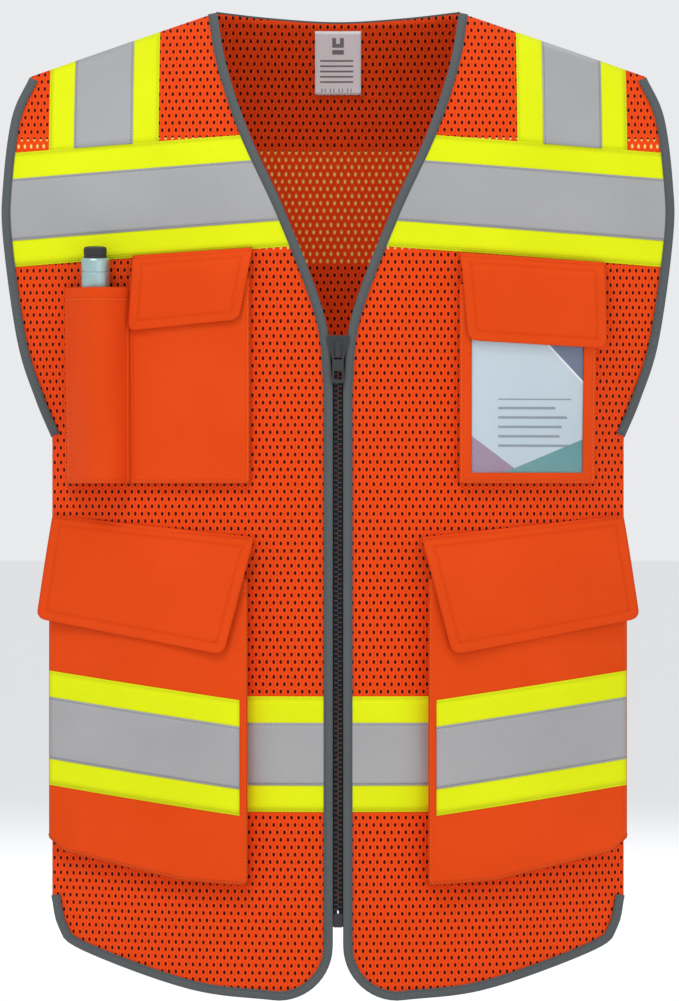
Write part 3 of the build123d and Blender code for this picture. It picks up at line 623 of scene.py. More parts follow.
def flatArea(points):
    a, b, c, d = points[:-1, :-1], points[:-1, 1:], points[1:, :-1], points[1:, 1:]
    first = np.linalg.norm(np.cross(b - a, c - a), axis=-1).sum() / 2
    second = np.linalg.norm(np.cross(b - d, c - d), axis=-1).sum() / 2
    return (first + second) * mm * mm


def declareSheet(points, cutOut=0.0):
    width = round(float(arcLengths(points, 1)[:, -1].max()) * mm, 4)
    height = round(float(arcLengths(points, 0)[-1].max()) * mm, 4)
    area = min(float(flatArea(points)) * (1.0 - cutOut), 0.999 * width * height)


def attach(piece, bodyName, slotName, *nodes):
    # bodyName may be a front's name with "+" for cloth that crosses from the back to it
    if nodes:
        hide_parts(*nodes)
    if bodyName.endswith("+"):
        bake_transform(piece)
    else:
        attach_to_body(piece, bodyName)


sides = {"right": -1, "left": 1}
print("shape set out")

# Mesh cloth: one back, and two fronts that run up over the shoulders.
meshCloth = {"thick": 1.1, "back": (121, 161), "front": (66, 170), "bunch": 0.55}


def backTop(x):
    neck = np.interp(x, backNeckLine[:, 0], backNeckLine[:, 1])
    return np.where(np.abs(x) < body["neckHalf"], neck, shoulderLine(x))


x, z = spreadGrid(*meshCloth["back"], farEdge, outerEdge, backTop, backHem)
points = onVest(1, x, z, meshCloth["thick"])
backCloth = closedSheet("back_cloth", points, meshCloth["thick"], 1, backMesh)
attach(backCloth, "back", "orange_mesh", "back_panel")
declareSheet(points)
for side, s in sides.items():
    x, z = spreadGrid(*meshCloth["front"], innerEdge, outerEdge, shoulderLine, hemAt,
                      meshCloth["bunch"])
    points = onVest(-1, s * x, z, meshCloth["thick"])
    frontCloth = closedSheet(f"{side}_front_cloth", points, meshCloth["thick"], -1, frontMesh)
    attach(frontCloth, f"{side}_front+", "orange_mesh",
           f"{side}_front_panel", f"{side}_shoulder_panel")
    declareSheet(points)
print("mesh cloth made")

# Reflective bands: lime tape with silver tape sewn on it.
bands = {
    "thick": 0.42, "chestTop": -96.5, "chestSlope": 0.0685, "backChestTop": -108.0,
    "waistTop": -549.5, "waistFrom": 5.2, "waistTo": 230.3,
    "longGrid": (60, 14, "tb"), "shoulderGrid": (24, 16, "lr"), "backGrid": (110, 14, "tb"),
}
tapes = {
    "lime": {"drop": 0.0, "height": 92.0, "lift": 1.85, "material": limeTape,
             "slot": "lime_tape", "shoulder": (143.5, 232.0), "shoulderRaise": 0.0},
    "silver": {"drop": 21.0, "height": 50.0, "lift": 2.35, "material": silverTape,
               "slot": "reflective_tape", "shoulder": (164.3, 211.8), "shoulderRaise": 0.06},
}


def makeBand(name, tape, s, way, inner, outer, top, bottom, grid, bodyName, nodes,
             raised=0.0):
    # a tape between two side lines and two end lines, with stitches along its long edges
    columns, rows, longEdges = grid
    x, z = spreadGrid(columns, rows, inner, outer, top, bottom)
    points = onVest(way, s * x, z, tape["lift"] + raised)
    marks = gridEdges(points, longEdges)
    piece = closedSheet(name, points, bands["thick"], way, tape["material"], marks)
    attach(piece, bodyName, tape["slot"], *nodes)
    declareSheet(points)


def chestBandTop(drop):
    def line(x):
        return bands["chestTop"] - bands["chestSlope"] * np.abs(x) - drop
    return line


for tapeName, tape in tapes.items():
    foot = tape["drop"] + tape["height"]
    inner, outer = tape["shoulder"]
    for side, s in sides.items():
        makeBand(f"{side}_chest_{tapeName}_tape", tape, s, -1, innerEdge, outerEdge,
                 chestBandTop(tape["drop"]), chestBandTop(foot), bands["longGrid"],
                 f"{side}_front+", [f"{side}_chest_{tapeName}"])
        makeBand(f"{side}_waist_{tapeName}_tape", tape, s, -1,
                 constant(bands["waistFrom"]), constant(bands["waistTo"]),
                 constant(bands["waistTop"] - tape["drop"]), constant(bands["waistTop"] - foot),
                 bands["longGrid"], f"{side}_front", [f"{side}_waist_{tapeName}"])
        makeBand(f"{side}_shoulder_{tapeName}_front_tape", tape, s, -1, constant(inner),
                 constant(outer), shoulderLine, chestBandTop(0.0), bands["shoulderGrid"],
                 f"{side}_front+", [f"{side}_shoulder_{tapeName}"], tape["shoulderRaise"])
        makeBand(f"{side}_shoulder_{tapeName}_back_tape", tape, s, 1, constant(inner),
                 constant(outer), shoulderLine, constant(bands["backChestTop"]),
                 bands["shoulderGrid"], "back", [], tape["shoulderRaise"])
    for bandName, top in (("chest", bands["backChestTop"]), ("waist", bands["waistTop"])):
        makeBand(f"back_{bandName}_{tapeName}_tape", tape, 1, 1, farEdge, outerEdge,
                 constant(top - tape["drop"]), constant(top - foot), bands["backGrid"],
                 "back", [f"back_{bandName}_{tapeName}"])
print("bands made")

# Edge bindings: a folded strip round every raw edge. The profile is (out past the edge, lift).
binding = {
    "profile": ((-6.5, 2.35), (-6.3, 2.72), (-5.6, 2.85), (-3.2, 2.92), (-1.0, 2.92), (0.2, 2.6),
                (0.8, 1.9), (0.95, 1.2), (0.75, 0.5), (0.2, 0.0), (-1.0, -0.25), (-3.2, -0.3),
                (-6.2, -0.25), (-6.5, 0.0)),
    "spacing": 5.0, "cutWidth": 0.0115, "meanWidth": 0.0105,
    "frontMiddle": (200.5, -250.0), "backMiddle": (0.0, -342.0),   # the strip's edge faces away
}


def evenly(line, spacing):
    line = np.asarray(line, dtype=float)
    steps = np.linalg.norm(np.diff(line, axis=0), axis=1)
    lengths = np.concatenate([[0.0], np.cumsum(steps)])
    places = np.linspace(0.0, lengths[-1], max(3, int(lengths[-1] / spacing)))
    return np.stack([np.interp(places, lengths, line[:, axis]) for axis in (0, 1)], axis=-1)


def boundEdge(name, line, s, way, middle, profile=binding["profile"], material=bindingCloth):
    # a strip of this profile along a line, its folded side away from middle, and its length
    line = evenly(line, binding["spacing"]) * (s, 1)
    along = np.gradient(line, axis=0)
    along = along / np.linalg.norm(along, axis=1, keepdims=True)
    outward = np.stack([along[:, 1], -along[:, 0]], axis=-1)
    facing = ((line - np.array(middle)) * outward).sum(axis=1)
    outward = outward * np.sign(facing)[:, None]
    layers = []
    for offset, lift in profile:
        place = line + outward * offset
        layers.append(onVest(way, place[:, 0], place[:, 1], np.full(len(place), lift)))
    points = np.stack(layers, axis=0)
    across, along = arcLengths(points, 0), arcLengths(points, 1)
    count, columns = points.shape[:2]
    faces = []
    for row in range(count):
        after = (row + 1) % count
        for column in range(columns - 1):
            faces.append((row * columns + column, row * columns + column + 1,
                          after * columns + column + 1, after * columns + column))
    faces.append([row * columns for row in range(count)][::-1])
    faces.append([row * columns + columns - 1 for row in range(count)])
    weave = np.stack([along, across, points[..., 1]], axis=-1)
    marks = {"weave": weave.reshape(-1, 3), "seam": seamMarks(across, along).reshape(-1, 3)}
    piece = meshObject(name, points.reshape(-1, 3), faces, marks, material)
    faceOutwards(piece)
    return piece, float(along[0, -1])


def bindEdge(name, line, s, way, middle, bodyName, node):
    piece, length = boundEdge(name, line, s, way, middle)
    attach(piece, bodyName, "edge_binding", node)


zipEdge = [(body["frontEdge"], z) for z in np.linspace(-310, hem + 48, 80)]
openingLine = np.concatenate([neckLine[::-1], zipEdge, hemLine])
for side, s in sides.items():
    middle = (s * binding["frontMiddle"][0], binding["frontMiddle"][1])
    bindEdge(f"{side}_opening_binding", openingLine, s, -1, middle,
             f"{side}_front+", f"{side}_front_binding")
    bindEdge(f"{side}_armhole_front_binding", armholeLine, s, -1, middle,
             f"{side}_front+", f"{side}_front_armhole_binding")
    bindEdge(f"{side}_armhole_back_binding", armholeLine, s, 1, middle,
             "back", f"{side}_armhole_binding")
bindEdge("neck_back_binding", backNeckLine, 1, 1, binding["backMiddle"], "back", "neck_binding")
bindEdge("back_hem_fold", backHemLine, 1, 1, binding["backMiddle"], "back", "back_hem_binding")
print("bindings made")

# Care label inside the back of the neck: satin with generic bars and signs.
label = {"half": 18.75, "top": -12.8, "bottom": -63.2, "lift": -0.55, "thick": 0.3,
         "sideCurl": 0.9, "footCurl": 1.4, "barPitch": 4.2, "signPitch": 7.0}


def labelMaterial():
    material, start, shader = newMaterial("labelSatin", 0.38, {"Sheen Weight": 0.3})
    across, down = coordinates(start, "seam")
    bars = 1.0 - abs(down.fold(label["barPitch"])).above(0.14, 0.2)
    bars = bars * down.within(22.0, 43.0, 0.4)
    ends = across.within(4.0, 31.3, 0.3)
    ring = abs(across.fold(label["signPitch"])).near(0.30, 0.07) * down.within(45.0, 48.3, 0.3)
    wide = abs(across - label["half"])
    figure = (1.0 - wide.above(4.6, 4.9)) * down.within(5.0, 18.3, 0.3)
    notch = (1.0 - wide.above(1.4, 1.7)) * (1.0 - down.above(9.5, 9.8))
    belt = down.near(13.6, 1.1)
    figure = figure * (1.0 - notch) * (1.0 - belt)
    ink = (bars * ends).orMore((ring * ends).orMore(figure))
    satin = (across + down * 0.2).fold(0.5)
    satin = satin * satin
    base = satin * 2.0 + cloudiness(start, 30.0) * 0.5
    base = base.tint(colour(238, 239, 241), colour(206, 208, 211))
    base = (ink * 0.85).tint(base, colour(70, 74, 82))
    finishMaterial(start, shader, base, satin * 0.5 + ink * 0.2, 0.3, 0.0003)
    return material


u, v = np.meshgrid(np.linspace(-1, 1, 16), np.linspace(0, 1, 20))
curl = label["sideCurl"] * np.abs(u) ** 3 + label["footCurl"] * v ** 4
labelX = u * label["half"]
labelZ = label["top"] + (label["bottom"] - label["top"]) * v
points = onVest(1, labelX, labelZ, label["lift"] - curl)
marks = seamMarks(labelX + label["half"], v * (label["top"] - label["bottom"]))
careLabel = closedSheet("care_label_satin", points, label["thick"], 1, labelMaterial(), marks)
attach(careLabel, "back", "label_satin", "care_label")
declareSheet(points)
print("label made")

# Zip: woven tapes and moulded teeth. Depths are from the chain's middle line.
zipSizes = {
    "line": -95.4, "top": -266.0, "bottom": -733.0, "boxHeight": 11.0, "pitch": 3.84,
    "toothHeight": 1.9, "toothInner": -0.35, "low": -2.9, "high": -0.3,
    "tapeInner": 0.6, "tapeOuter": 15.0, "tapeBehind": 1.25, "tapeThick": 0.6,
}
chainFoot = zipSizes["bottom"] + zipSizes["boxHeight"]
chainStart = chainFoot + zipSizes["pitch"] / 2
toothCount = int((zipSizes["top"] - chainFoot - zipSizes["pitch"]) / zipSizes["pitch"])
# One tooth: a waisted block with a raised head, (in from its tip, up) in millimetres and
# tooth heights, and its layers' (depth, size).
toothRing = ((0.0, -0.38), (0.3, -0.49), (0.9, -0.48), (1.7, -0.36), (2.8, -0.38), (3.85, -0.4),
             (3.85, 0.4), (2.8, 0.38), (1.7, 0.36), (0.9, 0.48), (0.3, 0.49), (0.0, 0.38))
toothLayers = ((0.0, 0.82), (0.12, 1.0), (0.88, 1.0), (1.0, 0.82))
toothMiddle = 1.925


def toothShape():
    points = []
    for depth, scale in toothLayers:
        points += [(toothMiddle + (x - toothMiddle) * scale, z * scale, depth) for x, z in toothRing]
    count = len(toothRing)
    faces = [tuple(range(count))[::-1], tuple(range(3 * count, 4 * count))]
    for layer in range(3):
        low, high = layer * count, (layer + 1) * count
        for k in range(count):
            after = (k + 1) % count
            faces.append((low + k, low + after, high + after, high + k))
    return np.array(points), faces


toothPoints, toothFaces = toothShape()
for side, s in sides.items():
    u, v = np.meshgrid(np.linspace(zipSizes["tapeInner"], zipSizes["tapeOuter"], 8),
                       np.linspace(zipSizes["top"], zipSizes["bottom"], 90))
    depth = np.full_like(u, zipSizes["line"] + zipSizes["tapeBehind"])
    points = np.stack([s * u, depth, v], axis=-1)
    zipTape = closedSheet(f"{side}_zip_woven_tape", points, zipSizes["tapeThick"], -1, zipCloth)
    attach(zipTape, f"{side}_front", "zip_tape", f"{side}_zip_tape")
    declareSheet(points)
    allPoints = []
    allFaces = []
    for k in range(toothCount):
        # the left row sits half a pitch higher, so that the two rows mesh
        centre = chainStart + k * zipSizes["pitch"] + zipSizes["toothHeight"] / 2
        centre = centre + (zipSizes["pitch"] / 2 if s > 0 else 0)
        base = k * len(toothPoints)
        block = np.empty_like(toothPoints)
        block[:, 0] = s * (zipSizes["toothInner"] + toothPoints[:, 0])
        block[:, 2] = centre + toothPoints[:, 1] * zipSizes["toothHeight"]
        block[:, 1] = (zipSizes["line"] - zipSizes["low"]
                       + (zipSizes["low"] - zipSizes["high"]) * toothPoints[:, 2])
        allPoints.append(block)
        for face in toothFaces:
            allFaces.append(tuple(base + corner for corner in (face if s > 0 else face[::-1])))
    teeth = meshObject(f"{side}_moulded_teeth", np.concatenate(allPoints), allFaces, {},
                       zipPlastic, smooth=False)
    attach(teeth, f"{side}_front", "zip_plastic", f"{side}_zip_teeth")
for node, material in (("zip_box", zipPlastic), ("zip_pin", zipPlastic),
                       ("zip_slider", zipMetal), ("zip_pull", zipMetal)):
    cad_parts[node].data.materials.clear()
    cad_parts[node].data.materials.append(material)
print("zip made")

# Pockets: cloth boxes and patches with stitched sides, open at the top.
pockets = {
    "cloth": 0.9, "base": 2.45, "lift": 8.95, "round": 3.2, "roundDepth": 0.9, "bottom": -380.0,
    "chest": (70.4, 166.3), "chestMouth": -216.0, "pen": (166.5, 218.4), "penMouth": -223.6,
    "badge": (96.8, 206.4), "badgeMouth": -221.1, "badgeHole": (106.6, 196.6, -371.0, -250.5),
    "sleeveMiddle": 193.6, "sleeveHalf": 25.5, "sleeveBulge": 25.8,
    "hemDepth": 14.0, "edgeReach": 15.0, "noStitch": 60.0,
}
cargo = {
    "sides": (72.0, 232.8), "lift": 14.95, "pleat": 3.2, "hinge": 383.8, "hingeSlope": 0.1065,
    "mouthDrop": 32.0, "foot": ((72.0, 91.0), (124.0, 94.0), (218.8, 115.0), (232.8, 126.0)),
    "tapeTop": -530.4, "tapeSlope": 0.1425, "tapeSides": (78.5, 232.4), "tapeRaise": 13.72,
    "tapeGrid": (40, 14, "tb"),
}


def pocketGrid(s, inner, outer, mouth, bottom, lift, wallSteps, pleat, columns, rows):
    # front sheet plus the walls at its sides and foot, all one grid
    walls = np.linspace(1.0, 0.0, wallSteps + 1)[:-1]
    across = np.concatenate([np.zeros(wallSteps), np.linspace(0, 1, columns), np.ones(wallSteps)])
    sideWall = np.concatenate([walls, np.zeros(columns), walls[::-1]])
    down = np.concatenate([np.linspace(0, 1, rows), np.ones(wallSteps)])
    footWall = np.concatenate([np.zeros(rows), walls[::-1]])
    u, v = np.meshgrid(across, down)
    wallSide, wallFoot = np.meshgrid(sideWall, footWall)
    wall = np.maximum(wallSide, wallFoot)
    left = np.where(u < 0.5, 1.0, -1.0)
    x = inner + (outer - inner) * u + left * pleat * np.sin(math.pi * wallSide) * (wallSide > 0)
    z = mouth(x) + (bottom(x) - mouth(x)) * v + pleat * np.sin(math.pi * wallFoot)
    fromSide = np.minimum(u, 1 - u) * (outer - inner)
    tall = np.abs(mouth(x) - bottom(x))
    fromFoot = (1 - v) * tall
    fromMouth = v * tall
    near = np.minimum(fromSide, fromFoot)
    rounded = np.clip(1.0 - near / pockets["round"], 0.0, 1.0) ** 2 * pockets["roundDepth"]
    full = lift(s * x, z) - rounded * (wall == 0)
    edgeLift = lift(s * x, z) - pockets["roundDepth"]
    lifted = np.where(wall == 0, full, edgeLift + (pockets["base"] - edgeLift) * wall)
    edge = np.where(wall == 0, np.minimum(near, pockets["edgeReach"]), pockets["noStitch"])
    along = np.where(fromSide < fromFoot, z, x)
    atMouth = (fromMouth < pockets["hemDepth"]) & (wall == 0)
    edge = np.where(atMouth, fromMouth + mouthMark, edge)
    along = np.where(atMouth, x, along)
    return onVest(-1, s * x, z, lifted), seamMarks(edge, along), x, z


def makePocket(name, side, inner, outer, mouth, bottom, lift, nodes, wallSteps=3, pleat=0.0,
               columns=36, rows=56, window=None):
    points, marks, x, z = pocketGrid(sides[side], inner, outer, mouth, bottom, lift, wallSteps,
                                     pleat, columns, rows)
    holes = None
    if window:
        middleX = (x[:-1, :-1] + x[1:, 1:]) / 2
        middleZ = (z[:-1, :-1] + z[1:, 1:]) / 2
        holes = ((middleX > window[0]) & (middleX < window[1])
                 & (middleZ > window[2]) & (middleZ < window[3]))
    piece = closedSheet(name, points, pockets["cloth"], -1, pocketCloth, marks, holes)
    attach(piece, f"{side}_front", "orange_cloth", *nodes)
    cutOut = 0.0 if holes is None else float(holes.mean())
    declareSheet(points, cutOut)


def sleeveLift(x, z):
    # round the torch
    off = (np.abs(x) - pockets["sleeveMiddle"]) / pockets["sleeveHalf"]
    return pockets["lift"] + pockets["sleeveBulge"] * np.maximum(0.0, 1.0 - off * off)


def cargoMouth(x):
    return hem + cargo["hinge"] - cargo["hingeSlope"] * (halfWidth - np.abs(x)) - cargo["mouthDrop"]


def cargoFoot(x):
    corners = np.array(cargo["foot"])
    return hem + np.interp(x, corners[:, 0], corners[:, 1])


def cargoTapeLine(drop):
    def line(x):
        return cargo["tapeTop"] - cargo["tapeSlope"] * (cargo["sides"][1] - np.abs(x)) - drop
    return line


bottom = constant(pockets["bottom"])
makePocket("chest_pocket_cloth", "right", *pockets["chest"], constant(pockets["chestMouth"]),
           bottom, constant(pockets["lift"]), ["right_chest_pocket"])
makePocket("pen_pocket_cloth", "right", *pockets["pen"], constant(pockets["penMouth"]),
           bottom, sleeveLift, ["right_pen_pocket"])
makePocket("badge_pocket_cloth", "left", *pockets["badge"], constant(pockets["badgeMouth"]),
           bottom, constant(pockets["lift"]), ["left_badge_pocket"], columns=46,
           window=pockets["badgeHole"])
for side, s in sides.items():
    makePocket(f"{side}_cargo_cloth", side, *cargo["sides"], cargoMouth, cargoFoot,
               constant(cargo["lift"]), [f"{side}_cargo_front", f"{side}_cargo_gusset"],
               wallSteps=8, pleat=cargo["pleat"], columns=52, rows=60)
    inner, outer = cargo["tapeSides"]
    for tapeName, tape in tapes.items():
        makeBand(f"{side}_cargo_{tapeName}_tape", tape, s, -1, constant(inner), constant(outer),
                 cargoTapeLine(tape["drop"]), cargoTapeLine(tape["drop"] + tape["height"]),
                 cargo["tapeGrid"], f"{side}_front", [],
                 cargo["tapeRaise"])
print("pockets made")

# Clear window and the printed card behind it: left, right, top and bottom of each.
card = {"place": (101.5, 201.8, -226.0, -376.0), "lift": 7.3, "thick": 0.7, "linePitch": 7.5}
window = {"place": (103.0, 200.2, -246.6, -374.8), "lift": 7.95, "thick": 0.3, "waves": 0.12}


def cardMaterial():
    # plain pass: pale field, two corner shapes, a sweep at the foot and grey bars for the lines
    material, start, shader = newMaterial("passCard", 0.28, {"Coat Weight": 0.3})
    across, down = coordinates(start, "seam")
    art = cloudiness(start, 25.0) * 0.5 + down * 0.003
    art = art.tint(colour(196, 212, 220), colour(176, 196, 208))
    slant = across - down * 0.95
    art = slant.above(26.0, 26.4).tint(art, colour(44, 64, 112))
    art = slant.near(25.0, 1.1).tint(art, colour(236, 240, 242))
    art = (down - across * 0.75).above(112.0, 112.4).tint(art, colour(136, 100, 134))
    art = (down + across * 0.42).above(158.0, 158.5).tint(art, colour(22, 132, 136))
    bars = 1.0 - abs(down.fold(card["linePitch"])).above(0.12, 0.16)
    bars = bars * down.within(86.0, 128.3, 0.3)
    line = down / card["linePitch"]
    line = line.math("FLOOR", line) * 2.7
    ragged = line.math("SINE", line) * 7.0
    bars = bars * across.above(26.0, 26.3) * (1.0 - (across + ragged).above(78.0, 78.3))
    art = (bars * 0.8).tint(art, colour(92, 104, 120))
    finishMaterial(start, shader, art, cloudiness(start, 300.0), 0.05, 0.0002)
    return material


def vinylMaterial():
    material, start, shader = newMaterial("clearVinyl", 0.12, {"Coat Weight": 0.6})
    soft = cloudiness(start, 16.0, 4.0)
    base = soft.tint(colour(214, 222, 226), colour(236, 240, 242))
    finishMaterial(start, shader, base, soft, 0.25, 0.002, soft * 0.12 + 0.08)
    alpha = soft * 0.06 + 0.05
    start.tree.links.new(alpha.socket, shader.inputs["Alpha"])
    return material


def flatPanel(name, panel, material, slotName, node):
    left, right, top, bottom = panel["place"]
    u, v = np.meshgrid(np.linspace(0, 1, 30), np.linspace(0, 1, 40))
    x = left + (right - left) * u
    z = top + (bottom - top) * v
    wave = panel.get("waves", 0.0) * np.sin(u * 5.2 + v * 2.0) * np.sin(v * 6.5 + 0.7)
    points = onVest(-1, x, z, panel["lift"] + wave)
    piece = closedSheet(name, points, panel["thick"], -1, material, seamMarks(x - left, top - z))
    attach(piece, "left_front", slotName, node)
    declareSheet(points)


flatPanel("pass_card", card, cardMaterial(), "card", "id_card")
flatPanel("vinyl_window", window, vinylMaterial(), "clear_vinyl", "badge_window")
print("card and window made")

# Flaps: stitched cloth lids that turn at their sewn edge. Corners go round from the inner
# end of the sewn edge; the lid stands out to its full height over a ramp below that edge.
smallFlap = {"ramp": 12.0, "full": 11.0, "ends": 0.0, "slope": 0.0627, "sag": 0.5}
cargoFlap = {"ramp": 38.0, "full": 16.6, "ends": 5.0, "slope": -0.1065, "sag": 0.7,
             "corners": ((67.2, -424.6), (230.5, -407.2), (243.1, -488.4), (91.2, -516.4))}
flaps = {
    "right_chest_flap": {**smallFlap, "corners": ((68.3, -194.0), (164.0, -200.0),
                                                  (168.3, -258.4), (78.7, -249.6))},
    "left_badge_flap": {**smallFlap, "corners": ((97.6, -197.9), (213.6, -205.2),
                                                 (215.2, -272.0), (103.7, -266.0))},
    "right_cargo_flap": cargoFlap,
    "left_cargo_flap": cargoFlap,
}
flapCut = {"root": 3.0, "cloth": 1.5, "corner": 7.0, "edgeOver": 1.6, "edgeRound": 0.55,
           "bunch": 1.25}
flapFold = {
    "profile": ((-3.4, 3.2), (-3.0, 4.3), (-1.6, 5.0), (0.0, 5.1), (1.2, 4.5), (1.9, 3.4),
                (2.1, 2.6), (1.0, 2.45), (-3.0, 2.5)),
    "middle": (140.0, -300.0), "cutWidth": 0.0102, "meanWidth": 0.0076,
}


def flapSurface(cut, s, columns=60, rows=40):
    first, second, third, fourth = (np.array(corner) for corner in cut["corners"])
    tall = np.linalg.norm(second - third)
    wide = np.linalg.norm(third - fourth)
    u, v = np.meshgrid(np.linspace(0, 1, columns), np.linspace(0, 1, rows))
    v = 1.0 - (1.0 - v) ** flapCut["bunch"]
    fromFoot = (1.0 - v) * tall
    radius = flapCut["corner"]
    dip = np.clip(radius - fromFoot, 0.0, radius)
    inset = (radius - np.sqrt(np.maximum(radius * radius - dip * dip, 0.0))) / wide
    u = inset + (1.0 - 2.0 * inset) * u
    across, down = u[..., None], v[..., None]
    place = ((1 - across) * (1 - down) * first + across * (1 - down) * second
             + across * down * third + (1 - across) * down * fourth)
    x, z = place[..., 0], place[..., 1]
    top = first[1] - cut["slope"] * (x - first[0])
    low, high = first[0], second[0]
    off = (x - (low + high) / 2) / ((high - low) / 2)
    ramp = np.sin(np.clip((top - z) / cut["ramp"], 0, 1) * math.pi / 2)
    rise = flapCut["root"] + (cut["full"] - flapCut["root"]) * ramp
    fromSide = np.minimum(u, 1 - u) * wide
    edge = np.minimum(fromSide, fromFoot)
    rounded = np.clip(1.0 - edge / flapCut["edgeOver"], 0.0, 1.0) ** 2 * flapCut["edgeRound"]
    pucker = cut["sag"] * np.sin(u * 8.0 + 0.6) * v * v
    lift = rise + cut["ends"] * off * off + flapCut["cloth"] - rounded + np.maximum(0.0, pucker)
    along = np.where(fromSide < fromFoot, z, x)
    fromTop = v * tall
    atTop = fromTop < edge
    marks = seamMarks(np.where(atTop, fromTop + 2.0, edge), np.where(atTop, x, along))
    return onVest(-1, s * x, z, lift), marks


for flapName, cut in flaps.items():
    side = flapName.split("_")[0]
    s = sides[side]
    points, marks = flapSurface(cut, s)
    piece = closedSheet(f"{flapName}_cloth", points, flapCut["cloth"], -1, flapCloth, marks)
    attach(piece, flapName, "orange_cloth", flapName)
    declareSheet(points)
    sewnEdge = np.linspace(*cut["corners"][:2], 30)
    middleX, middleDrop = flapFold["middle"]
    fold, length = boundEdge(f"{flapName}_fold", sewnEdge, s, -1,
                             (s * middleX, sewnEdge[0, 1] + middleDrop),
                             flapFold["profile"], pocketCloth)
    attach(fold, f"{side}_front", "orange_cloth")
print("flaps made")

# Hook and loop pads under the flaps, placed down from each flap's sewn edge.
padCut = {"tall": 18.0, "thick": 0.45}
pads = {
    "chest": {"x": (96.3, 140.0), "flap": "right_chest_flap", "drop": 28.0, "hook": 10.85,
              "loop": 9.75},
    "badge": {"x": (135.6, 175.6), "flap": "left_badge_flap", "drop": 28.0, "hook": 10.85,
              "loop": 9.75},
    "cargo": {"x": (123.2, 174.5), "flap": "left_cargo_flap", "drop": 56.0, "hook": 16.45,
              "loop": 15.7},
}


def makePad(side, pocket, half, bodyName, nodes):
    pad = pads[pocket]
    cut = flaps[pad["flap"]]
    hingeX, hingeZ = cut["corners"][0]
    u, v = np.meshgrid(np.linspace(0, 1, 16), np.linspace(0, 1, 8))
    x = pad["x"][0] + (pad["x"][1] - pad["x"][0]) * u
    z = hingeZ - cut["slope"] * (x - hingeX) - pad["drop"] - padCut["tall"] * v
    points = onVest(-1, sides[side] * x, z, np.full_like(x, pad[half]))
    piece = closedSheet(f"{side}_{pocket}_{half}_pad", points, padCut["thick"], -1, patchCloth,
                        gridEdges(points))
    attach(piece, bodyName, "hook_and_loop", *nodes)
    declareSheet(points)


for side, small in (("right", "chest"), ("left", "badge")):
    front = f"{side}_front"
    makePad(side, small, "loop", front, [f"{side}_loop_patches"])
    makePad(side, small, "hook", f"{side}_{small}_flap", [f"{side}_{small}_hook"])
    makePad(side, "cargo", "loop", front, [])
    makePad(side, "cargo", "hook", f"{side}_cargo_flap", [f"{side}_cargo_hook"])
print("pads made")

# Torch: turned metal body with grip rings and a fluted switch cap, as (radius, height).
torch = {
    "foot": (-193.6, -73.9, -295.0), "axis": (0.0, -0.110771, 0.993846), "turns": 56,
    "body": ((0.0, 0.0), (9.7, 0.0), (10.8, 0.6), (11.3, 1.8), (11.35, 9.0), (10.7, 9.6),
             (10.7, 11.0), (11.35, 11.6), (11.35, 18.0), (11.0, 18.4), (11.0, 19.2), (11.35, 19.6),
             (11.35, 21.6), (11.0, 22.0), (11.0, 22.8), (11.35, 23.2), (11.35, 66.0), (10.9, 66.5),
             (10.9, 67.5), (11.35, 68.0), (11.35, 84.0), (11.0, 84.4), (11.0, 85.0), (11.38, 85.4),
             (11.38, 93.8), (10.9, 95.2), (10.2, 95.9), (0.0, 95.9)),
    "cap": ((0.0, 96.0), (9.2, 96.0), (9.25, 97.0), (8.9, 97.4), (8.9, 98.0), (9.25, 98.4),
            (9.25, 102.4), (8.9, 103.6), (8.0, 104.3), (0.0, 104.4)),
    "flutes": 14, "fluteDepth": 0.35, "fluteFrom": 98.4, "fluteTo": 102.4, "fluteWidth": 0.2,
    "capDetail": 4, "sharp": 35, "weld": 0.00002,
}


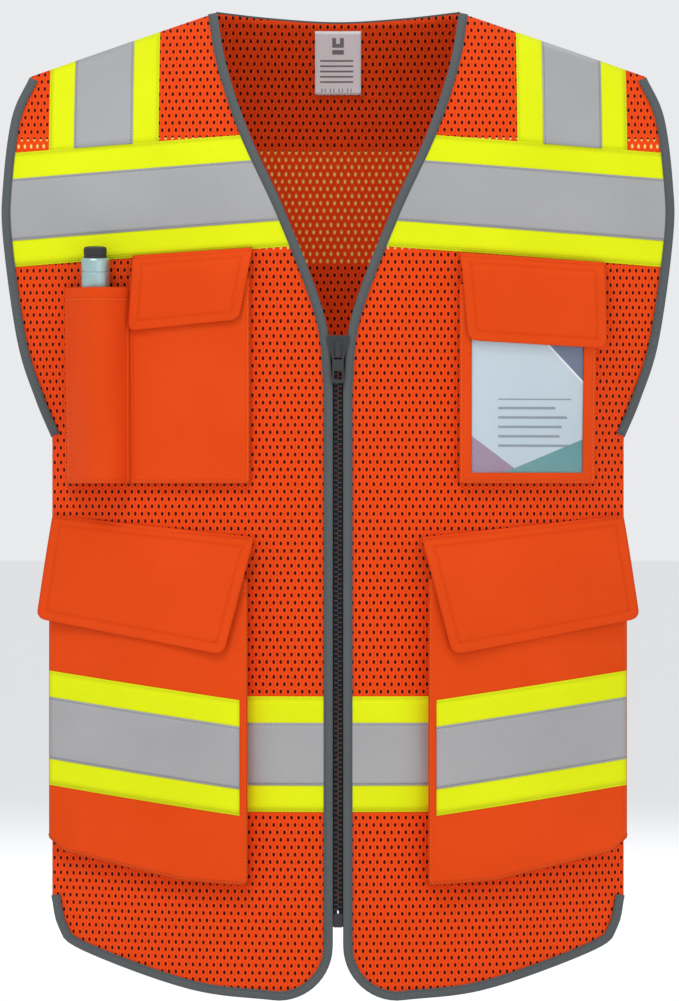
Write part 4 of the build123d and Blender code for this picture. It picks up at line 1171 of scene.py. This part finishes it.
def turned(name, profile, material, node, slotName, turns, flutes=0):
    foot = np.array(torch["foot"])
    up = np.array(torch["axis"])
    across = np.array([1.0, 0.0, 0.0])
    forward = np.cross(up, across)
    points = []
    for radius, height in profile:
        fluted = flutes > 0 and torch["fluteFrom"] <= height <= torch["fluteTo"]
        for k in range(turns):
            angle = 2 * math.pi * k / turns
            cut = fluted and math.cos(angle * flutes) > torch["fluteWidth"]
            reach = radius - torch["fluteDepth"] if cut else radius
            around = across * math.cos(angle) + forward * math.sin(angle)
            points.append(foot + up * height + around * reach)
    faces = []
    for row in range(len(profile) - 1):
        low, high = row * turns, (row + 1) * turns
        for k in range(turns):
            after = (k + 1) % turns
            faces.append((low + k, low + after, high + after, high + k))
    piece = meshObject(name, points, faces, {}, material)
    faceOutwards(piece, torch["weld"])
    piece.data.set_sharp_from_angle(angle=math.radians(torch["sharp"]))
    attach(piece, "torch", slotName, node)


turned("torch_barrel", torch["body"], torchMetal, "torch_body", "torch_metal", torch["turns"])
turned("torch_switch_cap", torch["cap"], torchRubber, "torch_cap", "torch_plastic",
       torch["turns"] * torch["capDetail"], torch["flutes"])
print("torch made")

# Pale floor and soft surroundings, in metres.
room = {"floorHeight": -0.86, "reach": 60.0, "floor": (0.9, 0.9, 0.9, 1.0),
        "air": (0.95, 0.96, 0.98, 1.0), "brightness": 0.86}
reach, height = room["reach"], room["floorHeight"]
floorMesh = bpy.data.meshes.new("paleFloor")
corners = [(-reach, -reach, height), (reach, -reach, height),
           (reach, reach, height), (-reach, reach, height)]
floorMesh.from_pydata(corners, [], [(0, 1, 2, 3)])
floorMaterial, floorStart, floorShader = newMaterial("paleFloor", 0.9)
floorShader.inputs["Base Color"].default_value = room["floor"]
floorMesh.materials.append(floorMaterial)
paleFloor = bpy.data.objects.new("paleFloor", floorMesh)
bpy.context.collection.objects.link(paleFloor)
world = bpy.data.worlds.new("softRoom")
world.use_nodes = True
world.node_tree.nodes["Background"].inputs["Color"].default_value = room["air"]
world.node_tree.nodes["Background"].inputs["Strength"].default_value = room["brightness"]
bpy.context.scene.world = world
print("floor and surroundings made")
